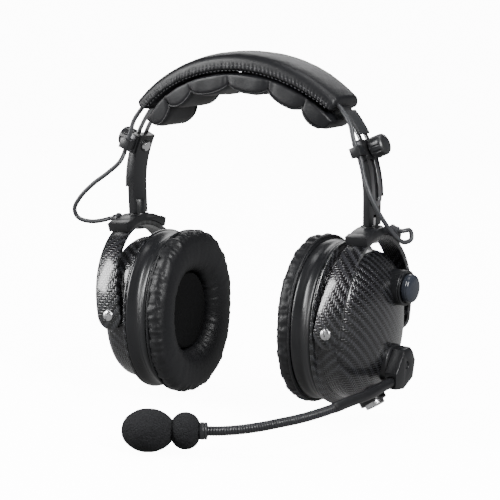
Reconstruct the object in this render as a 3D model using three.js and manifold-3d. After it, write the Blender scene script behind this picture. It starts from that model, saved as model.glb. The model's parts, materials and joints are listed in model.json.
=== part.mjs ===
// Aviation headset: a slotted band spring under a padded cover, two sliding arms with clamp knobs,
// two forked yokes, two oval cups with ear seals, and a microphone boom on the left cup.
// Millimetres. The wearer faces -Y, the wearer's left is +X, +Z is up.
// The origin is where the head touches the middle of the head cushion.
import * as THREE from 'three';
import { mergeVertices } from 'three/addons/utils/BufferGeometryUtils.js';
import Module from 'manifold-3d';

const wasm = await Module();
wasm.setup();

// ---------------------------------------------------------------- driving dimensions
const GAP = 0.3; // between pieces that rest on each other

// head band
const CUSHION_DEPTH = 13.4; // lobes, measured inward
const COVER_BELOW_SPRING = 5.5;
const COVER_ABOVE_SPRING = 6.8;
const CROWN_RADIUS = 113;
const SHOULDER_RADIUS = 80;
const SHOULDER_ANGLE = 23.6; // where the crown arc meets the tighter shoulder arc
const COVER_RADIUS = 110; // outer arc of the padded cover
const COVER_END_ANGLE = 44.5;
const PAD_SHIFT = -5; // the padding sits a little to the wearer's right, in degrees
const COVER_HALF_WIDTH = 21;
const COVER_END_HALF_WIDTH = 16.5;
const CUSHION_HALF_WIDTH = 20;
const CUSHION_END_HALF_WIDTH = 15.5;
const CUSHION_END_ANGLE = 51;
const LOBES = 6;
const LOBE_GROOVE = 7.5;
const SPRING_THICKNESS = 1.2;
const SPRING_WIDTH = 13;
const SPRING_END_ANGLE = 87;
const SLOT_WIDTH = 4.8;
const SLOT_START_ANGLE = 53;
const GUARD_START_ANGLE = 45;
const GUARD_END_ANGLE = 57.5;
const GUARD_THICKNESS = 1.6;

// arms and clamps
const ARM_THICKNESS = 4.4;
const ARM_WIDTH = 15.8;
const ARM_TOP_ANGLE = 62;
const FOOT_RADIUS = 5;
const FOOT_HEIGHT = 9;
const CLAMP_ANGLE = 67.5;
const CLAMP_PLATE_THICKNESS = 1.5;
const CLAMP_PLATE_LENGTH = 12;
const CLAMP_SCREW_RADIUS = 2;
const KNOB_RADIUS = 7;
const KNOB_LENGTH = 11.5;
const KNOB_RIBS = 10;
const CLIP_SIZE = 8;

// leads
const LEAD_RADIUS = 1.5;
const LEAD_HOLE_RADIUS = 1.9;
const LEAD_OUT_Y = -11; // where the lead runs, in front of the spring
const LEAD_LIFT = 2.5; // above the spring's centreline

// how the two sides stand at rest, in degrees: the arm slid down the band, the cup turned on its pivots
const REST = {
  left: { side: 1, extension: -2.5, tilt: 2.6 },
  right: { side: -1, extension: 5.5, tilt: 3.7 },
};

// cups
const CUP_HALF_WIDTH = 46.5;
const CUP_HALF_HEIGHT = 53;
const CUP_TOP_Z = -90.7;
const CUP_CENTRE_Z = CUP_TOP_Z - CUP_HALF_HEIGHT;
const CUP_FULLNESS = 2.2; // 2 is an ellipse, more is squarer
const SHELL_INNER_X = 72;
const SHELL_OUTER_X = 104;
const SHELL_WALL = 2.4;
const SHELL_WAIST = 4.2;
const BODY_INNER_X = 57;
const BODY_WALL = 4;
const BODY_MOUTH_INSET = 12;
const SEAL_FACE_X = 44.5;
const SEAL_HALF_WIDTH = 45;
const SEAL_HALF_HEIGHT = CUP_HALF_HEIGHT + 1;
const SEAL_OPENING = 23; // the seal's ring, from its edge to its opening
const SEAL_FLAT = [8, 14]; // the part of the ring's face that is flat, from its edge
const PIVOT_SCREW_RADIUS = 2;
const PIVOT_HEAD_RADIUS = 3.6;
const PIVOT_BOSS_RADIUS = 5.5;
const BAFFLE_THICKNESS = 2;
const SPEAKER_RADIUS = 20;
const SPEAKER_DEPTH = 9;
const FOAM_THICKNESS = 5;

// yokes
const PIVOT_Z = CUP_CENTRE_Z - 0.3;
const PIVOT_X = 84.5;
const YOKE_THICKNESS = 3;
const YOKE_HALF_SPAN = 44; // inside, front to rear
const YOKE_RISE = CUP_HALF_HEIGHT + 2; // inside, cup centre to the top of the arch
const YOKE_TOP_X = 91.5;
const YOKE_TOP_WIDTH = 12;
const YOKE_END_RADIUS = 9;
const SADDLE_THICKNESS = 4.6;
const SADDLE_WIDTH = 15.4;
const SADDLE_ANGLE = 26;
const SADDLE_END = 5.5; // the thicker pad at each end
const SADDLE_CLEARANCE = 0.8; // in all, below and above the saddle
const ARM_FOOT_Z = CUP_CENTRE_Z + YOKE_RISE + YOKE_THICKNESS + SADDLE_THICKNESS + SADDLE_CLEARANCE;
const SWIVEL_PIN_RADIUS = 2.5;
const GLAND_Y = 9;
const GLAND_SIDE = { left: 1, right: -1 }; // the saddles are alike, so one gland is behind, one in front

// volume control
const VOLUME_Y = 15;
const VOLUME_Z = CUP_CENTRE_Z + 24;
const VOLUME_BASE_RADIUS = 11.4;
const VOLUME_BASE_TOP_X = 107;
const VOLUME_CAP_RADIUS = 9.2;
const VOLUME_CAP_HEIGHT = 5.6;
const VOLUME_SHAFT_RADIUS = 3;
const VOLUME_SHAFT_LENGTH = 5;
const VOLUME_POT_RADIUS = 8;
const VOLUME_POT_LENGTH = 6;

// boom and microphone
const BOOM_Y = 9;
const BOOM_Z = CUP_CENTRE_Z - 24;
const BOOM_DISC_RADIUS = 12.5;
const BOOM_DISC_LENGTH = 9;
const BOOM_DISC_TOP_X = 104.3;
const BRACKET_THICKNESS = 8.4;
const BOOM_SCREW_RADIUS = 2.2;
const SLEEVE_RADIUS = 3.4;
const GOOSENECK_RADIUS = 3;
const GOOSENECK_GAP = 0.9; // room to bend
const MUFF_RADIUS = 12.4;
const MUFF_LENGTH = 30;
const MUFF_REAR_RADIUS = 10.6;
const MUFF_REAR_LENGTH = 16;
const CAPSULE_RADIUS = 6;
const CAPSULE_LENGTH = 22;
const COLLAR_RADIUS = 5.2;
const COLLAR_LENGTH = 4.6;

// cable socket
const SOCKET_X = 91;
const SOCKET_Y = 3;
const SOCKET_LIFT = 7; // its seat above the lowest point of the cup
const SOCKET_TILT = 35; // outward from straight down
const SOCKET_FLANGE_RADIUS = 9;
const SOCKET_FLANGE_LENGTH = 5;
const SOCKET_RING_RADIUS = 6.5;
const SOCKET_BORE_RADIUS = 5;
const SOCKET_RING_LENGTH = 9;

// ---------------------------------------------------------------- materials
function finish(color, roughness, metalness = 0) {
  return new THREE.MeshStandardMaterial({ color, roughness, metalness });
}

const LEATHER = finish(0x25262b, 0.55);
const STEEL = finish(0xa4a6a8, 0.35, 1);
const SCREW_STEEL = finish(0xd0d2d4, 0.25, 1);
const PLASTIC = finish(0x1b1c1f, 0.5);
const KNOB_PLASTIC = finish(0x26272b, 0.4);
const CARBON = finish(0x2c2d31, 0.2);
const GLOSS_CAP = finish(0x596070, 0.15);
const FOAM = finish(0x1e1f23, 0.95);
const CORD = finish(0x3a3b40, 0.5);
const FIBRE = finish(0x141416, 0.8);

// ---------------------------------------------------------------- solids
const { degToRad } = THREE.MathUtils;

function signedVolume(positions, index) {
  const [a, b, c] = [new THREE.Vector3(), new THREE.Vector3(), new THREE.Vector3()];
  let volume = 0;
  for (let i = 0; i < index.length; i += 3) {
    a.fromArray(positions, 3 * index[i]);
    b.fromArray(positions, 3 * index[i + 1]);
    c.fromArray(positions, 3 * index[i + 2]);
    volume += a.dot(b.cross(c)) / 6;
  }
  return volume;
}

// Merges the shared vertices, drops collapsed triangles and turns every face outward.
function solid(geometry) {
  const bare = new THREE.BufferGeometry();
  bare.setAttribute('position', geometry.getAttribute('position'));
  bare.setIndex(geometry.index);
  const merged = mergeVertices(bare, 1e-3);
  const positions = merged.getAttribute('position').array;
  const source = merged.index.array;
  const index = [];
  for (let i = 0; i < source.length; i += 3) {
    const [a, b, c] = [source[i], source[i + 1], source[i + 2]];
    if (a !== b && b !== c && c !== a) index.push(a, b, c);
  }
  if (signedVolume(positions, index) < 0) index.reverse();
  const mesh = new wasm.Mesh({
    numProp: 3,
    vertProperties: Float32Array.from(positions),
    triVerts: Uint32Array.from(index),
  });
  return new wasm.Manifold(mesh);
}

function geometryOf(body) {
  const mesh = body.getMesh();
  const geometry = new THREE.BufferGeometry();
  geometry.setAttribute('position', new THREE.BufferAttribute(mesh.vertProperties, mesh.numProp));
  geometry.setIndex(new THREE.BufferAttribute(mesh.triVerts, 1));
  return geometry;
}

// The same shape for the wearer's right side.
function mirrored(geometry) {
  const copy = geometry.clone();
  copy.scale(-1, 1, 1);
  copy.setIndex([...copy.index.array].reverse());
  return copy;
}

function joined(first, ...others) {
  return others.reduce((sum, other) => sum.add(other), first);
}

function cutBy(first, ...others) {
  return others.reduce((rest, other) => rest.subtract(other), first);
}

// A cylinder or cone from one point to another.
function rod(start, end, radius, endRadius = radius, sides = 14) {
  const along = new THREE.Vector3().subVectors(end, start);
  const geometry = new THREE.CylinderGeometry(endRadius, radius, along.length(), sides);
  const up = new THREE.Vector3(0, 1, 0);
  geometry.applyQuaternion(new THREE.Quaternion().setFromUnitVectors(up, along.clone().normalize()));
  geometry.translate((start.x + end.x) / 2, (start.y + end.y) / 2, (start.z + end.z) / 2);
  return solid(geometry);
}

function block(low, high) {
  const size = new THREE.Vector3().subVectors(high, low);
  const geometry = new THREE.BoxGeometry(size.x, size.y, size.z);
  geometry.translate((low.x + high.x) / 2, (low.y + high.y) / 2, (low.z + high.z) / 2);
  return solid(geometry);
}

const at = (x, y, z) => new THREE.Vector3(x, y, z);

// An outline in the XZ plane, extruded along Y from yMin to yMax.
function plateXZ(shape, yMin, yMax, curveSegments = 16) {
  const geometry = new THREE.ExtrudeGeometry(shape, {
    depth: yMax - yMin,
    bevelEnabled: false,
    curveSegments,
  });
  geometry.rotateX(Math.PI / 2);
  geometry.translate(0, yMax, 0);
  return geometry;
}

// An outline in the YZ plane, extruded along X from xMin to xMax.
function plateYZ(shape, xMin, xMax, curveSegments = 24) {
  const geometry = new THREE.ExtrudeGeometry(shape, {
    depth: xMax - xMin,
    bevelEnabled: false,
    curveSegments,
  });
  geometry.rotateX(Math.PI / 2);
  geometry.rotateZ(Math.PI / 2);
  geometry.translate(xMin, 0, 0);
  return geometry;
}

// A round section swept along a smooth curve through the points.
function tube(points, radius, steps, sides = 8) {
  const section = new THREE.Shape();
  for (let i = 0; i < sides; i += 1) {
    const angle = (2 * Math.PI * i) / sides;
    const [x, y] = [radius * Math.cos(angle), radius * Math.sin(angle)];
    if (i === 0) section.moveTo(x, y);
    else section.lineTo(x, y);
  }
  const path = new THREE.CatmullRomCurve3(points, false, 'centripetal');
  return solid(new THREE.ExtrudeGeometry(section, { steps, extrudePath: path, bevelEnabled: false }));
}

// ---------------------------------------------------------------- the band's curve
// Angles are measured from straight up, about the centre of the arc they lie on.
const SPRING_TOP_Z = CUSHION_DEPTH + GAP + COVER_BELOW_SPRING;
const CROWN_CENTRE = new THREE.Vector2(0, SPRING_TOP_Z - CROWN_RADIUS);
const SHOULDER_CENTRE = new THREE.Vector2(
  CROWN_CENTRE.x + (CROWN_RADIUS - SHOULDER_RADIUS) * Math.sin(degToRad(SHOULDER_ANGLE)),
  CROWN_CENTRE.y + (CROWN_RADIUS - SHOULDER_RADIUS) * Math.cos(degToRad(SHOULDER_ANGLE)),
);

function bandPoint(angle, offset = 0) {
  const size = Math.abs(angle);
  const onCrown = size <= SHOULDER_ANGLE;
  const centre = onCrown ? CROWN_CENTRE : SHOULDER_CENTRE;
  const radius = (onCrown ? CROWN_RADIUS : SHOULDER_RADIUS) + offset;
  const side = Math.sign(angle) || 1;
  const x = centre.x + radius * Math.sin(degToRad(size));
  return new THREE.Vector2(side * x, centre.y + radius * Math.cos(degToRad(size)));
}

// The unit vector out of the band at an angle on the +X side.
function bandNormal(angle) {
  return at(Math.sin(degToRad(angle)), 0, Math.cos(degToRad(angle)));
}

function bandPoint3(angle, offset, y = 0) {
  const point = bandPoint(angle, offset);
  return at(point.x, y, point.y);
}

function angleRange(from, to, step) {
  const count = Math.max(2, Math.ceil(Math.abs(to - from) / step));
  return Array.from({ length: count + 1 }, (_, i) => from + ((to - from) * i) / count);
}

function outline(points) {
  return new THREE.Shape(points);
}

// The region between two offsets of the band's curve.
function bandRegion(from, to, inner, outer, step = 5) {
  const angles = angleRange(from, to, step);
  const out = angles.map((angle) => bandPoint(angle, outer));
  const back = angles.map((angle) => bandPoint(angle, inner)).reverse();
  return outline([...out, ...back]);
}

function bandSolid(from, to, inner, outer, yMin, yMax, step = 5) {
  return solid(plateXZ(bandRegion(from, to, inner, outer, step), yMin, yMax));
}

// Narrows a piece of padding from its middle width to its end width.
function taper(geometry, middleHalf, endHalf) {
  geometry.computeBoundingBox();
  const { min, max } = geometry.boundingBox;
  const [middle, reach] = [(min.x + max.x) / 2, (max.x - min.x) / 2];
  const position = geometry.getAttribute('position');
  for (let i = 0; i < position.count; i += 1) {
    const t = Math.abs(position.getX(i) - middle) / reach;
    const half = middleHalf + (endHalf - middleHalf) * t * t;
    position.setY(i, (position.getY(i) / middleHalf) * half);
  }
  return geometry;
}

// ---------------------------------------------------------------- head band pieces
const SPRING_HALF = SPRING_THICKNESS / 2;

function headbandSpring() {
  const half = SPRING_WIDTH / 2;
  let body = bandSolid(-SPRING_END_ANGLE, SPRING_END_ANGLE, -SPRING_HALF, SPRING_HALF, -half, half, 6);
  for (const side of [1, -1]) {
    const end = bandPoint3(SPRING_END_ANGLE - 0.5, -SPRING_HALF);
    const outer = bandPoint3(SPRING_END_ANGLE - 0.5, SPRING_HALF);
    const [from, to] = [at(side * end.x, 0, end.z), at(side * outer.x, 0, outer.z)];
    body = body.add(rod(from, to, half));
    const slot = bandSolid(
      side * SLOT_START_ANGLE,
      side * SPRING_END_ANGLE,
      -2 * SPRING_THICKNESS,
      2 * SPRING_THICKNESS,
      -SLOT_WIDTH / 2,
      SLOT_WIDTH / 2,
      6,
    );
    body = body.subtract(slot);
  }
  return body;
}

function padCover() {
  const top = SPRING_TOP_Z + COVER_ABOVE_SPRING;
  const centreZ = top - COVER_RADIUS;
  const outer = angleRange(-COVER_END_ANGLE, COVER_END_ANGLE, 4).map((angle) => {
    const a = degToRad(angle + PAD_SHIFT);
    return new THREE.Vector2(COVER_RADIUS * Math.sin(a), centreZ + COVER_RADIUS * Math.cos(a));
  });
  const inner = angleRange(COVER_END_ANGLE + 3, -COVER_END_ANGLE - 3, 4).map((angle) => {
    const thin = 1 - 0.35 * (Math.abs(angle) / COVER_END_ANGLE) ** 4;
    return bandPoint(angle + PAD_SHIFT, -COVER_BELOW_SPRING * thin);
  });
  const half = COVER_HALF_WIDTH;
  const shape = outline([...outer, ...inner]);
  const body = solid(taper(plateXZ(shape, -half, half), half, COVER_END_HALF_WIDTH));
  const springHalf = SPRING_WIDTH / 2 + 2 * GAP;
  const springTunnel = bandSolid(-60, 60, -SPRING_HALF - GAP, SPRING_HALF + GAP, -springHalf, springHalf);
  return cutBy(body, springTunnel, leadTunnel());
}

function leadPath(from, to, step) {
  return angleRange(from, to, step).map((angle) => bandPoint3(angle, LEAD_LIFT, LEAD_OUT_Y));
}

function leadTunnel() {
  return tube(leadPath(-60, 60, 6), LEAD_HOLE_RADIUS, 20, 8);
}

// Where the lead comes out of the cover, in degrees from straight up. The side is 1 or -1.
function leadExit(side) {
  return COVER_END_ANGLE + 2.5 + side * PAD_SHIFT;
}

function crossoverLead() {
  return tube(leadPath(-leadExit(-1), leadExit(1), 6), LEAD_RADIUS, 20, 8);
}

function headCushion() {
  const outerOffset = -COVER_BELOW_SPRING - GAP;
  const end = CUSHION_END_ANGLE;
  const pitch = (2 * end) / LOBES;
  const outer = angleRange(-end, end, 5).map((angle) => bandPoint(angle + PAD_SHIFT, outerOffset));
  const steps = LOBES * 8;
  const inner = [];
  for (let i = steps; i >= 0; i -= 1) {
    const angle = -end + (2 * end * i) / steps;
    const swell = Math.abs(Math.sin((Math.PI * (angle + end)) / pitch)) ** 0.45;
    const depth = LOBE_GROOVE + (CUSHION_DEPTH - LOBE_GROOVE) * swell;
    inner.push(bandPoint(angle + PAD_SHIFT, outerOffset - depth));
  }
  const shape = outline([...outer, ...inner]);
  const half = CUSHION_HALF_WIDTH;
  return solid(taper(plateXZ(shape, -half, half), half, CUSHION_END_HALF_WIDTH));
}

// A textured cover strip on the band's outer face, between the pad and the clamp.
function leadGuard() {
  const base = SPRING_HALF + GAP;
  const half = SPRING_WIDTH / 2;
  return bandSolid(GUARD_START_ANGLE, GUARD_END_ANGLE, base, base + GUARD_THICKNESS, -half, half, 3);
}

// ---------------------------------------------------------------- arm and clamp
const ARM_OUTER = -SPRING_HALF - GAP;
const ARM_INNER = ARM_OUTER - ARM_THICKNESS;
const FOOT_X = SHOULDER_CENTRE.x + SHOULDER_RADIUS + (ARM_INNER + ARM_OUTER) / 2;
const CLAMP_AXIS = bandNormal(CLAMP_ANGLE);
const onClamp = (offset) => bandPoint3(CLAMP_ANGLE, offset);

function armOutline(inner, outer, bottomZ) {
  const angles = angleRange(ARM_TOP_ANGLE, 90, 4);
  const out = angles.map((angle) => bandPoint(angle, outer));
  const back = angles.map((angle) => bandPoint(angle, inner)).reverse();
  const [outX, inX] = [out[out.length - 1].x, back[0].x];
  return outline([...out, new THREE.Vector2(outX, bottomZ), new THREE.Vector2(inX, bottomZ), ...back]);
}

function arm() {
  const half = ARM_WIDTH / 2;
  const slab = solid(plateXZ(armOutline(ARM_INNER, ARM_OUTER, ARM_FOOT_Z), -half, half));
  const railInner = SPRING_WIDTH / 2 + GAP;
  const railTop = SPRING_HALF + GAP;
  const rails = [-1, 1].map((side) => {
    const [a, b] = [side * railInner, side * half].sort((p, q) => p - q);
    return bandSolid(ARM_TOP_ANGLE, SPRING_END_ANGLE + 2, ARM_OUTER - 1, railTop, a, b, 4);
  });
  const foot = rod(at(FOOT_X, 0, ARM_FOOT_Z), at(FOOT_X, 0, ARM_FOOT_Z + FOOT_HEIGHT), FOOT_RADIUS);
  const pinHole = rod(
    at(FOOT_X, 0, ARM_FOOT_Z - 1),
    at(FOOT_X, 0, ARM_FOOT_Z + FOOT_HEIGHT - 2),
    SWIVEL_PIN_RADIUS + GAP,
  );
  const screwHole = rod(onClamp(ARM_INNER - 2), onClamp(ARM_OUTER + 3), CLAMP_SCREW_RADIUS + GAP);
  const outerX = SHOULDER_CENTRE.x + SHOULDER_RADIUS + ARM_OUTER;
  const beyond = block(at(outerX, -20, ARM_FOOT_Z - 1), at(outerX + 20, 20, ARM_FOOT_Z + FOOT_HEIGHT + 1));
  return cutBy(joined(slab, ...rails, foot.subtract(beyond)), pinHole, screwHole);
}

const PLATE_BOTTOM = SPRING_HALF + 2 * GAP;
const PLATE_TOP = PLATE_BOTTOM + CLAMP_PLATE_THICKNESS;

function clampPlate() {
  const halfAngle = THREE.MathUtils.radToDeg(CLAMP_PLATE_LENGTH / 2 / SHOULDER_RADIUS);
  const [from, to] = [CLAMP_ANGLE - halfAngle, CLAMP_ANGLE + halfAngle];
  const half = ARM_WIDTH / 2 + GAP + CLAMP_PLATE_THICKNESS;
  const plate = bandSolid(from, to, PLATE_BOTTOM, PLATE_TOP, -half, half, 4);
  const legs = [-1, 1].map((side) => {
    const [a, b] = [side * (half - CLAMP_PLATE_THICKNESS), side * half].sort((p, q) => p - q);
    return bandSolid(from, to, ARM_INNER + 1, PLATE_BOTTOM + 0.5, a, b, 4);
  });
  const hole = rod(onClamp(PLATE_BOTTOM - 3), onClamp(PLATE_TOP + 3), CLAMP_SCREW_RADIUS + GAP);
  return joined(plate, ...legs).subtract(hole);
}

function clampScrew() {
  const shank = rod(onClamp(ARM_INNER - 1), onClamp(PLATE_TOP + KNOB_LENGTH - 4), CLAMP_SCREW_RADIUS);
  const head = rod(onClamp(ARM_INNER - GAP - 2), onClamp(ARM_INNER - GAP), 3.2, 4);
  return shank.add(head);
}

function clampKnob() {
  const [foot, top] = [PLATE_TOP + GAP, PLATE_TOP + GAP + KNOB_LENGTH];
  const body = rod(onClamp(foot + 1.5), onClamp(top - 1), KNOB_RADIUS - 0.8, KNOB_RADIUS - 0.8, 20);
  const collar = rod(onClamp(foot), onClamp(foot + 2), KNOB_RADIUS - 2.2);
  const dome = rod(onClamp(top - 1), onClamp(top), KNOB_RADIUS - 0.8, KNOB_RADIUS - 2.2, 20);
  const turn = new THREE.Quaternion().setFromUnitVectors(at(1, 0, 0), CLAMP_AXIS);
  const middle = onClamp((foot + 1.5 + top - 1) / 2);
  const ribs = Array.from({ length: KNOB_RIBS }, (_, i) => {
    const geometry = new THREE.BoxGeometry(KNOB_LENGTH - 2.5, 2, 2.2);
    geometry.translate(0, KNOB_RADIUS - 1, 0);
    geometry.rotateX((2 * Math.PI * i) / KNOB_RIBS);
    geometry.applyQuaternion(turn);
    geometry.translate(middle.x, middle.y, middle.z);
    return solid(geometry);
  });
  const bore = rod(onClamp(foot - 1), onClamp(top - 3), CLAMP_SCREW_RADIUS + GAP);
  return joined(body, collar, dome, ...ribs).subtract(bore);
}

// A small block clipped to the front edge of the clamp plate, with a hole for the lead.
const CLIP_Y = -(ARM_WIDTH / 2 + 2 * GAP + CLAMP_PLATE_THICKNESS);

function clipCentre(angle = CLAMP_ANGLE) {
  return bandPoint3(angle, 0, CLIP_Y - CLIP_SIZE / 2);
}

function leadClip() {
  const geometry = new THREE.BoxGeometry(CLIP_SIZE - 1, CLIP_SIZE, CLIP_SIZE - 1.5);
  geometry.rotateY(degToRad(CLAMP_ANGLE - 90));
  const centre = clipCentre();
  geometry.translate(centre.x, centre.y, centre.z);
  const down = bandNormal(CLAMP_ANGLE + 90);
  const [start, end] = [-9, 9].map((length) => centre.clone().addScaledVector(down, length));
  return solid(geometry).subtract(rod(start, end, LEAD_HOLE_RADIUS, LEAD_HOLE_RADIUS, 12));
}

function swivelPin() {
  const under = YOKE_UNDER_Z - 3 * GAP;
  const top = ARM_FOOT_Z + FOOT_HEIGHT - 4;
  const shank = rod(at(FOOT_X, 0, under - 1), at(FOOT_X, 0, top), SWIVEL_PIN_RADIUS);
  const head = rod(at(FOOT_X, 0, under - 1.8), at(FOOT_X, 0, under), 3.8, 4.6);
  return shank.add(head);
}

// ---------------------------------------------------------------- yoke and saddle
const YOKE_UNDER_Z = CUP_CENTRE_Z + YOKE_RISE;

function ovalPoints(halfWidth, halfHeight, from, to, step) {
  return angleRange(from, to, step).map((angle) => {
    const a = degToRad(angle);
    return new THREE.Vector2(halfWidth * Math.sin(a), CUP_CENTRE_Z + halfHeight * Math.cos(a));
  });
}

// The arch between two ovals about the cup's centre, in the YZ plane.
function arch(inner, thickness, reach, xMin, xMax, step) {
  const outer = inner + thickness;
  const out = ovalPoints(YOKE_HALF_SPAN + outer, YOKE_RISE + outer, -reach, reach, step);
  const back = ovalPoints(YOKE_HALF_SPAN + inner, YOKE_RISE + inner, reach, -reach, step);
  return solid(plateYZ(outline([...out, ...back]), xMin, xMax));
}

// The leg's outline seen from the front: narrow at the arm, wide and round at the pivot.
function yokeProfile() {
  const top = YOKE_UNDER_Z + YOKE_THICKNESS + 1;
  const half = YOKE_TOP_WIDTH / 2;
  const shape = new THREE.Shape();
  shape.moveTo(YOKE_TOP_X - half, top);
  shape.lineTo(YOKE_TOP_X + half, top);
  shape.quadraticCurveTo(YOKE_TOP_X + half, CUP_CENTRE_Z + 30, PIVOT_X + YOKE_END_RADIUS, PIVOT_Z);
  shape.absarc(PIVOT_X, PIVOT_Z, YOKE_END_RADIUS, 0, -Math.PI, true);
  shape.quadraticCurveTo(YOKE_TOP_X - half - 4, CUP_CENTRE_Z + 30, YOKE_TOP_X - half, top);
  return shape;
}

function yoke() {
  const ring = arch(0, YOKE_THICKNESS, 112, PIVOT_X - 20, PIVOT_X + 25, 8);
  const reach = YOKE_HALF_SPAN + 2 * YOKE_THICKNESS;
  const profile = solid(plateXZ(yokeProfile(), -reach, reach, 10));
  const pin = rod(
    at(FOOT_X, 0, YOKE_UNDER_Z - 2),
    at(FOOT_X, 0, YOKE_UNDER_Z + YOKE_THICKNESS + 2),
    SWIVEL_PIN_RADIUS + GAP,
  );
  const pivot = rod(at(PIVOT_X, -reach, PIVOT_Z), at(PIVOT_X, reach, PIVOT_Z), PIVOT_SCREW_RADIUS + GAP);
  return cutBy(ring.intersect(profile), pin, pivot);
}

const SADDLE_MIN_X = YOKE_TOP_X - SADDLE_WIDTH / 2;
const SADDLE_MAX_X = YOKE_TOP_X + SADDLE_WIDTH / 2;

// A bridge over the top of the yoke, thicker at its ends, with a round deck under the arm's foot.
function saddle() {
  const base = YOKE_THICKNESS + GAP;
  const bridge = arch(base, SADDLE_THICKNESS, SADDLE_ANGLE, SADDLE_MIN_X, SADDLE_MAX_X, 6);
  const middle = base + SADDLE_THICKNESS / 2;
  const ends = [-1, 1].map((side) => {
    const a = degToRad(side * (SADDLE_ANGLE - 2));
    const y = (YOKE_HALF_SPAN + middle) * Math.sin(a);
    const z = CUP_CENTRE_Z + (YOKE_RISE + middle) * Math.cos(a);
    const geometry = new THREE.BoxGeometry(SADDLE_WIDTH, SADDLE_END, SADDLE_THICKNESS + 1.2);
    geometry.rotateX(-a * 0.8);
    geometry.translate(YOKE_TOP_X, y, z + 0.7);
    return solid(geometry);
  });
  const deckRadius = FOOT_RADIUS + 2;
  const deck = rod(at(FOOT_X, 0, YOKE_UNDER_Z + 5), at(FOOT_X, 0, ARM_FOOT_Z - GAP), deckRadius);
  const pin = rod(at(FOOT_X, 0, YOKE_UNDER_Z), at(FOOT_X, 0, ARM_FOOT_Z + 1), SWIVEL_PIN_RADIUS + GAP);
  const room = arch(-1, base + 1, 60, SADDLE_MIN_X - 1, SADDLE_MAX_X + 1, 6);
  return cutBy(joined(bridge, ...ends, deck), pin, room);
}

const GLAND_X = SADDLE_MAX_X + GAP;
const GLAND_Z = YOKE_UNDER_Z + YOKE_THICKNESS + 2;
const GLAND_LENGTH = 5;
const GLAND_RADIUS = 3.6;

function leadGland(y) {
  const onGland = (length) => at(GLAND_X + length, y, GLAND_Z);
  const body = rod(onGland(0), onGland(GLAND_LENGTH), GLAND_RADIUS, 0.8 * GLAND_RADIUS, 12);
  const bore = rod(onGland(1.5), onGland(GLAND_LENGTH + 1), LEAD_HOLE_RADIUS, undefined, 10);
  return body.subtract(bore);
}

// ---------------------------------------------------------------- leads
function upperLead({ side, extension }) {
  const exit = leadExit(side);
  const start = bandPoint3(exit, LEAD_LIFT, LEAD_OUT_Y);
  const out = bandNormal(exit + 90);
  start.addScaledVector(out, GAP);
  const clip = clipCentre(CLAMP_ANGLE + extension);
  const down = bandNormal(CLAMP_ANGLE + extension + 90);
  const between = THREE.MathUtils.lerp(exit, CLAMP_ANGLE + extension, 0.45);
  const points = [
    start,
    start.clone().addScaledVector(out, 4),
    bandPoint3(between, LEAD_LIFT, LEAD_OUT_Y - 1.5),
    clip.clone().addScaledVector(down, -8),
    clip.clone().addScaledVector(down, -2),
    clip.clone().addScaledVector(down, 2),
  ];
  return tube(points, LEAD_RADIUS, 10);
}

function lowerLead(y, waypoints) {
  const down = bandNormal(CLAMP_ANGLE + 90);
  const points = [
    clipCentre().addScaledVector(down, 2 + GAP),
    clipCentre().addScaledVector(down, 7),
    ...waypoints,
    at(GLAND_X + GLAND_LENGTH + 3, y, GLAND_Z),
    at(GLAND_X + 2, y, GLAND_Z),
  ];
  return tube(points, LEAD_RADIUS, 24);
}

// The lead's slack on each side, from the clip down to the gland on the saddle.
const SLACK = {
  left: [
    at(91.5, -14.5, -47),
    at(97, -15, -60),
    at(102.5, -11, -73),
    at(106, -2, -84),
    at(109, 7, -90.5),
    at(111, 14, -89),
    at(110, 14, -83.5),
  ],
  right: [
    at(91, -18, -45),
    at(99, -21, -52),
    at(109, -24, -59),
    at(119, -26, -68),
    at(124.5, -25.5, -76),
    at(123.5, -23, -82),
    at(117, -18, -85),
    at(110, -12, -84.5),
  ],
};

// ---------------------------------------------------------------- cups
// Turns a round lathe about the X axis into the cup's oval outline.
function oval(profile, segments, halfWidth, halfHeight) {
  const points = profile.map(([x, radius]) => new THREE.Vector2(radius, x));
  const geometry = new THREE.LatheGeometry(points, segments);
  const position = geometry.getAttribute('position');
  for (let i = 0; i < position.count; i += 1) {
    const [x, y, z] = [position.getY(i), position.getX(i), position.getZ(i)];
    const angle = Math.atan2(z, y);
    const power = Math.abs(Math.cos(angle)) ** CUP_FULLNESS + Math.abs(Math.sin(angle)) ** CUP_FULLNESS;
    const full = power ** (-1 / CUP_FULLNESS);
    position.setXYZ(i, x, y * full * halfWidth, CUP_CENTRE_Z + z * full * halfHeight);
  }
  return solid(geometry);
}

// A cup profile is a list of [x, inset from the outline]; the oval takes radii from 0 to 1.
function fromInset(list) {
  return list.map(([x, inset]) => [x, Math.max(0, 1 - inset / CUP_HALF_WIDTH)]);
}

function cupOval(list, segments = 24) {
  return oval(fromInset(list), segments, CUP_HALF_WIDTH, CUP_HALF_HEIGHT);
}

const SHELL_STEPS = [
  [0, 0],
  [0.06, 0],
  [0.1, SHELL_WAIST],
  [0.5, SHELL_WAIST + 0.8],
  [0.64, SHELL_WAIST + 4],
  [0.75, SHELL_WAIST + 8.5],
  [0.85, SHELL_WAIST + 15],
  [0.93, SHELL_WAIST + 23],
  [0.98, SHELL_WAIST + 32],
];

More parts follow.
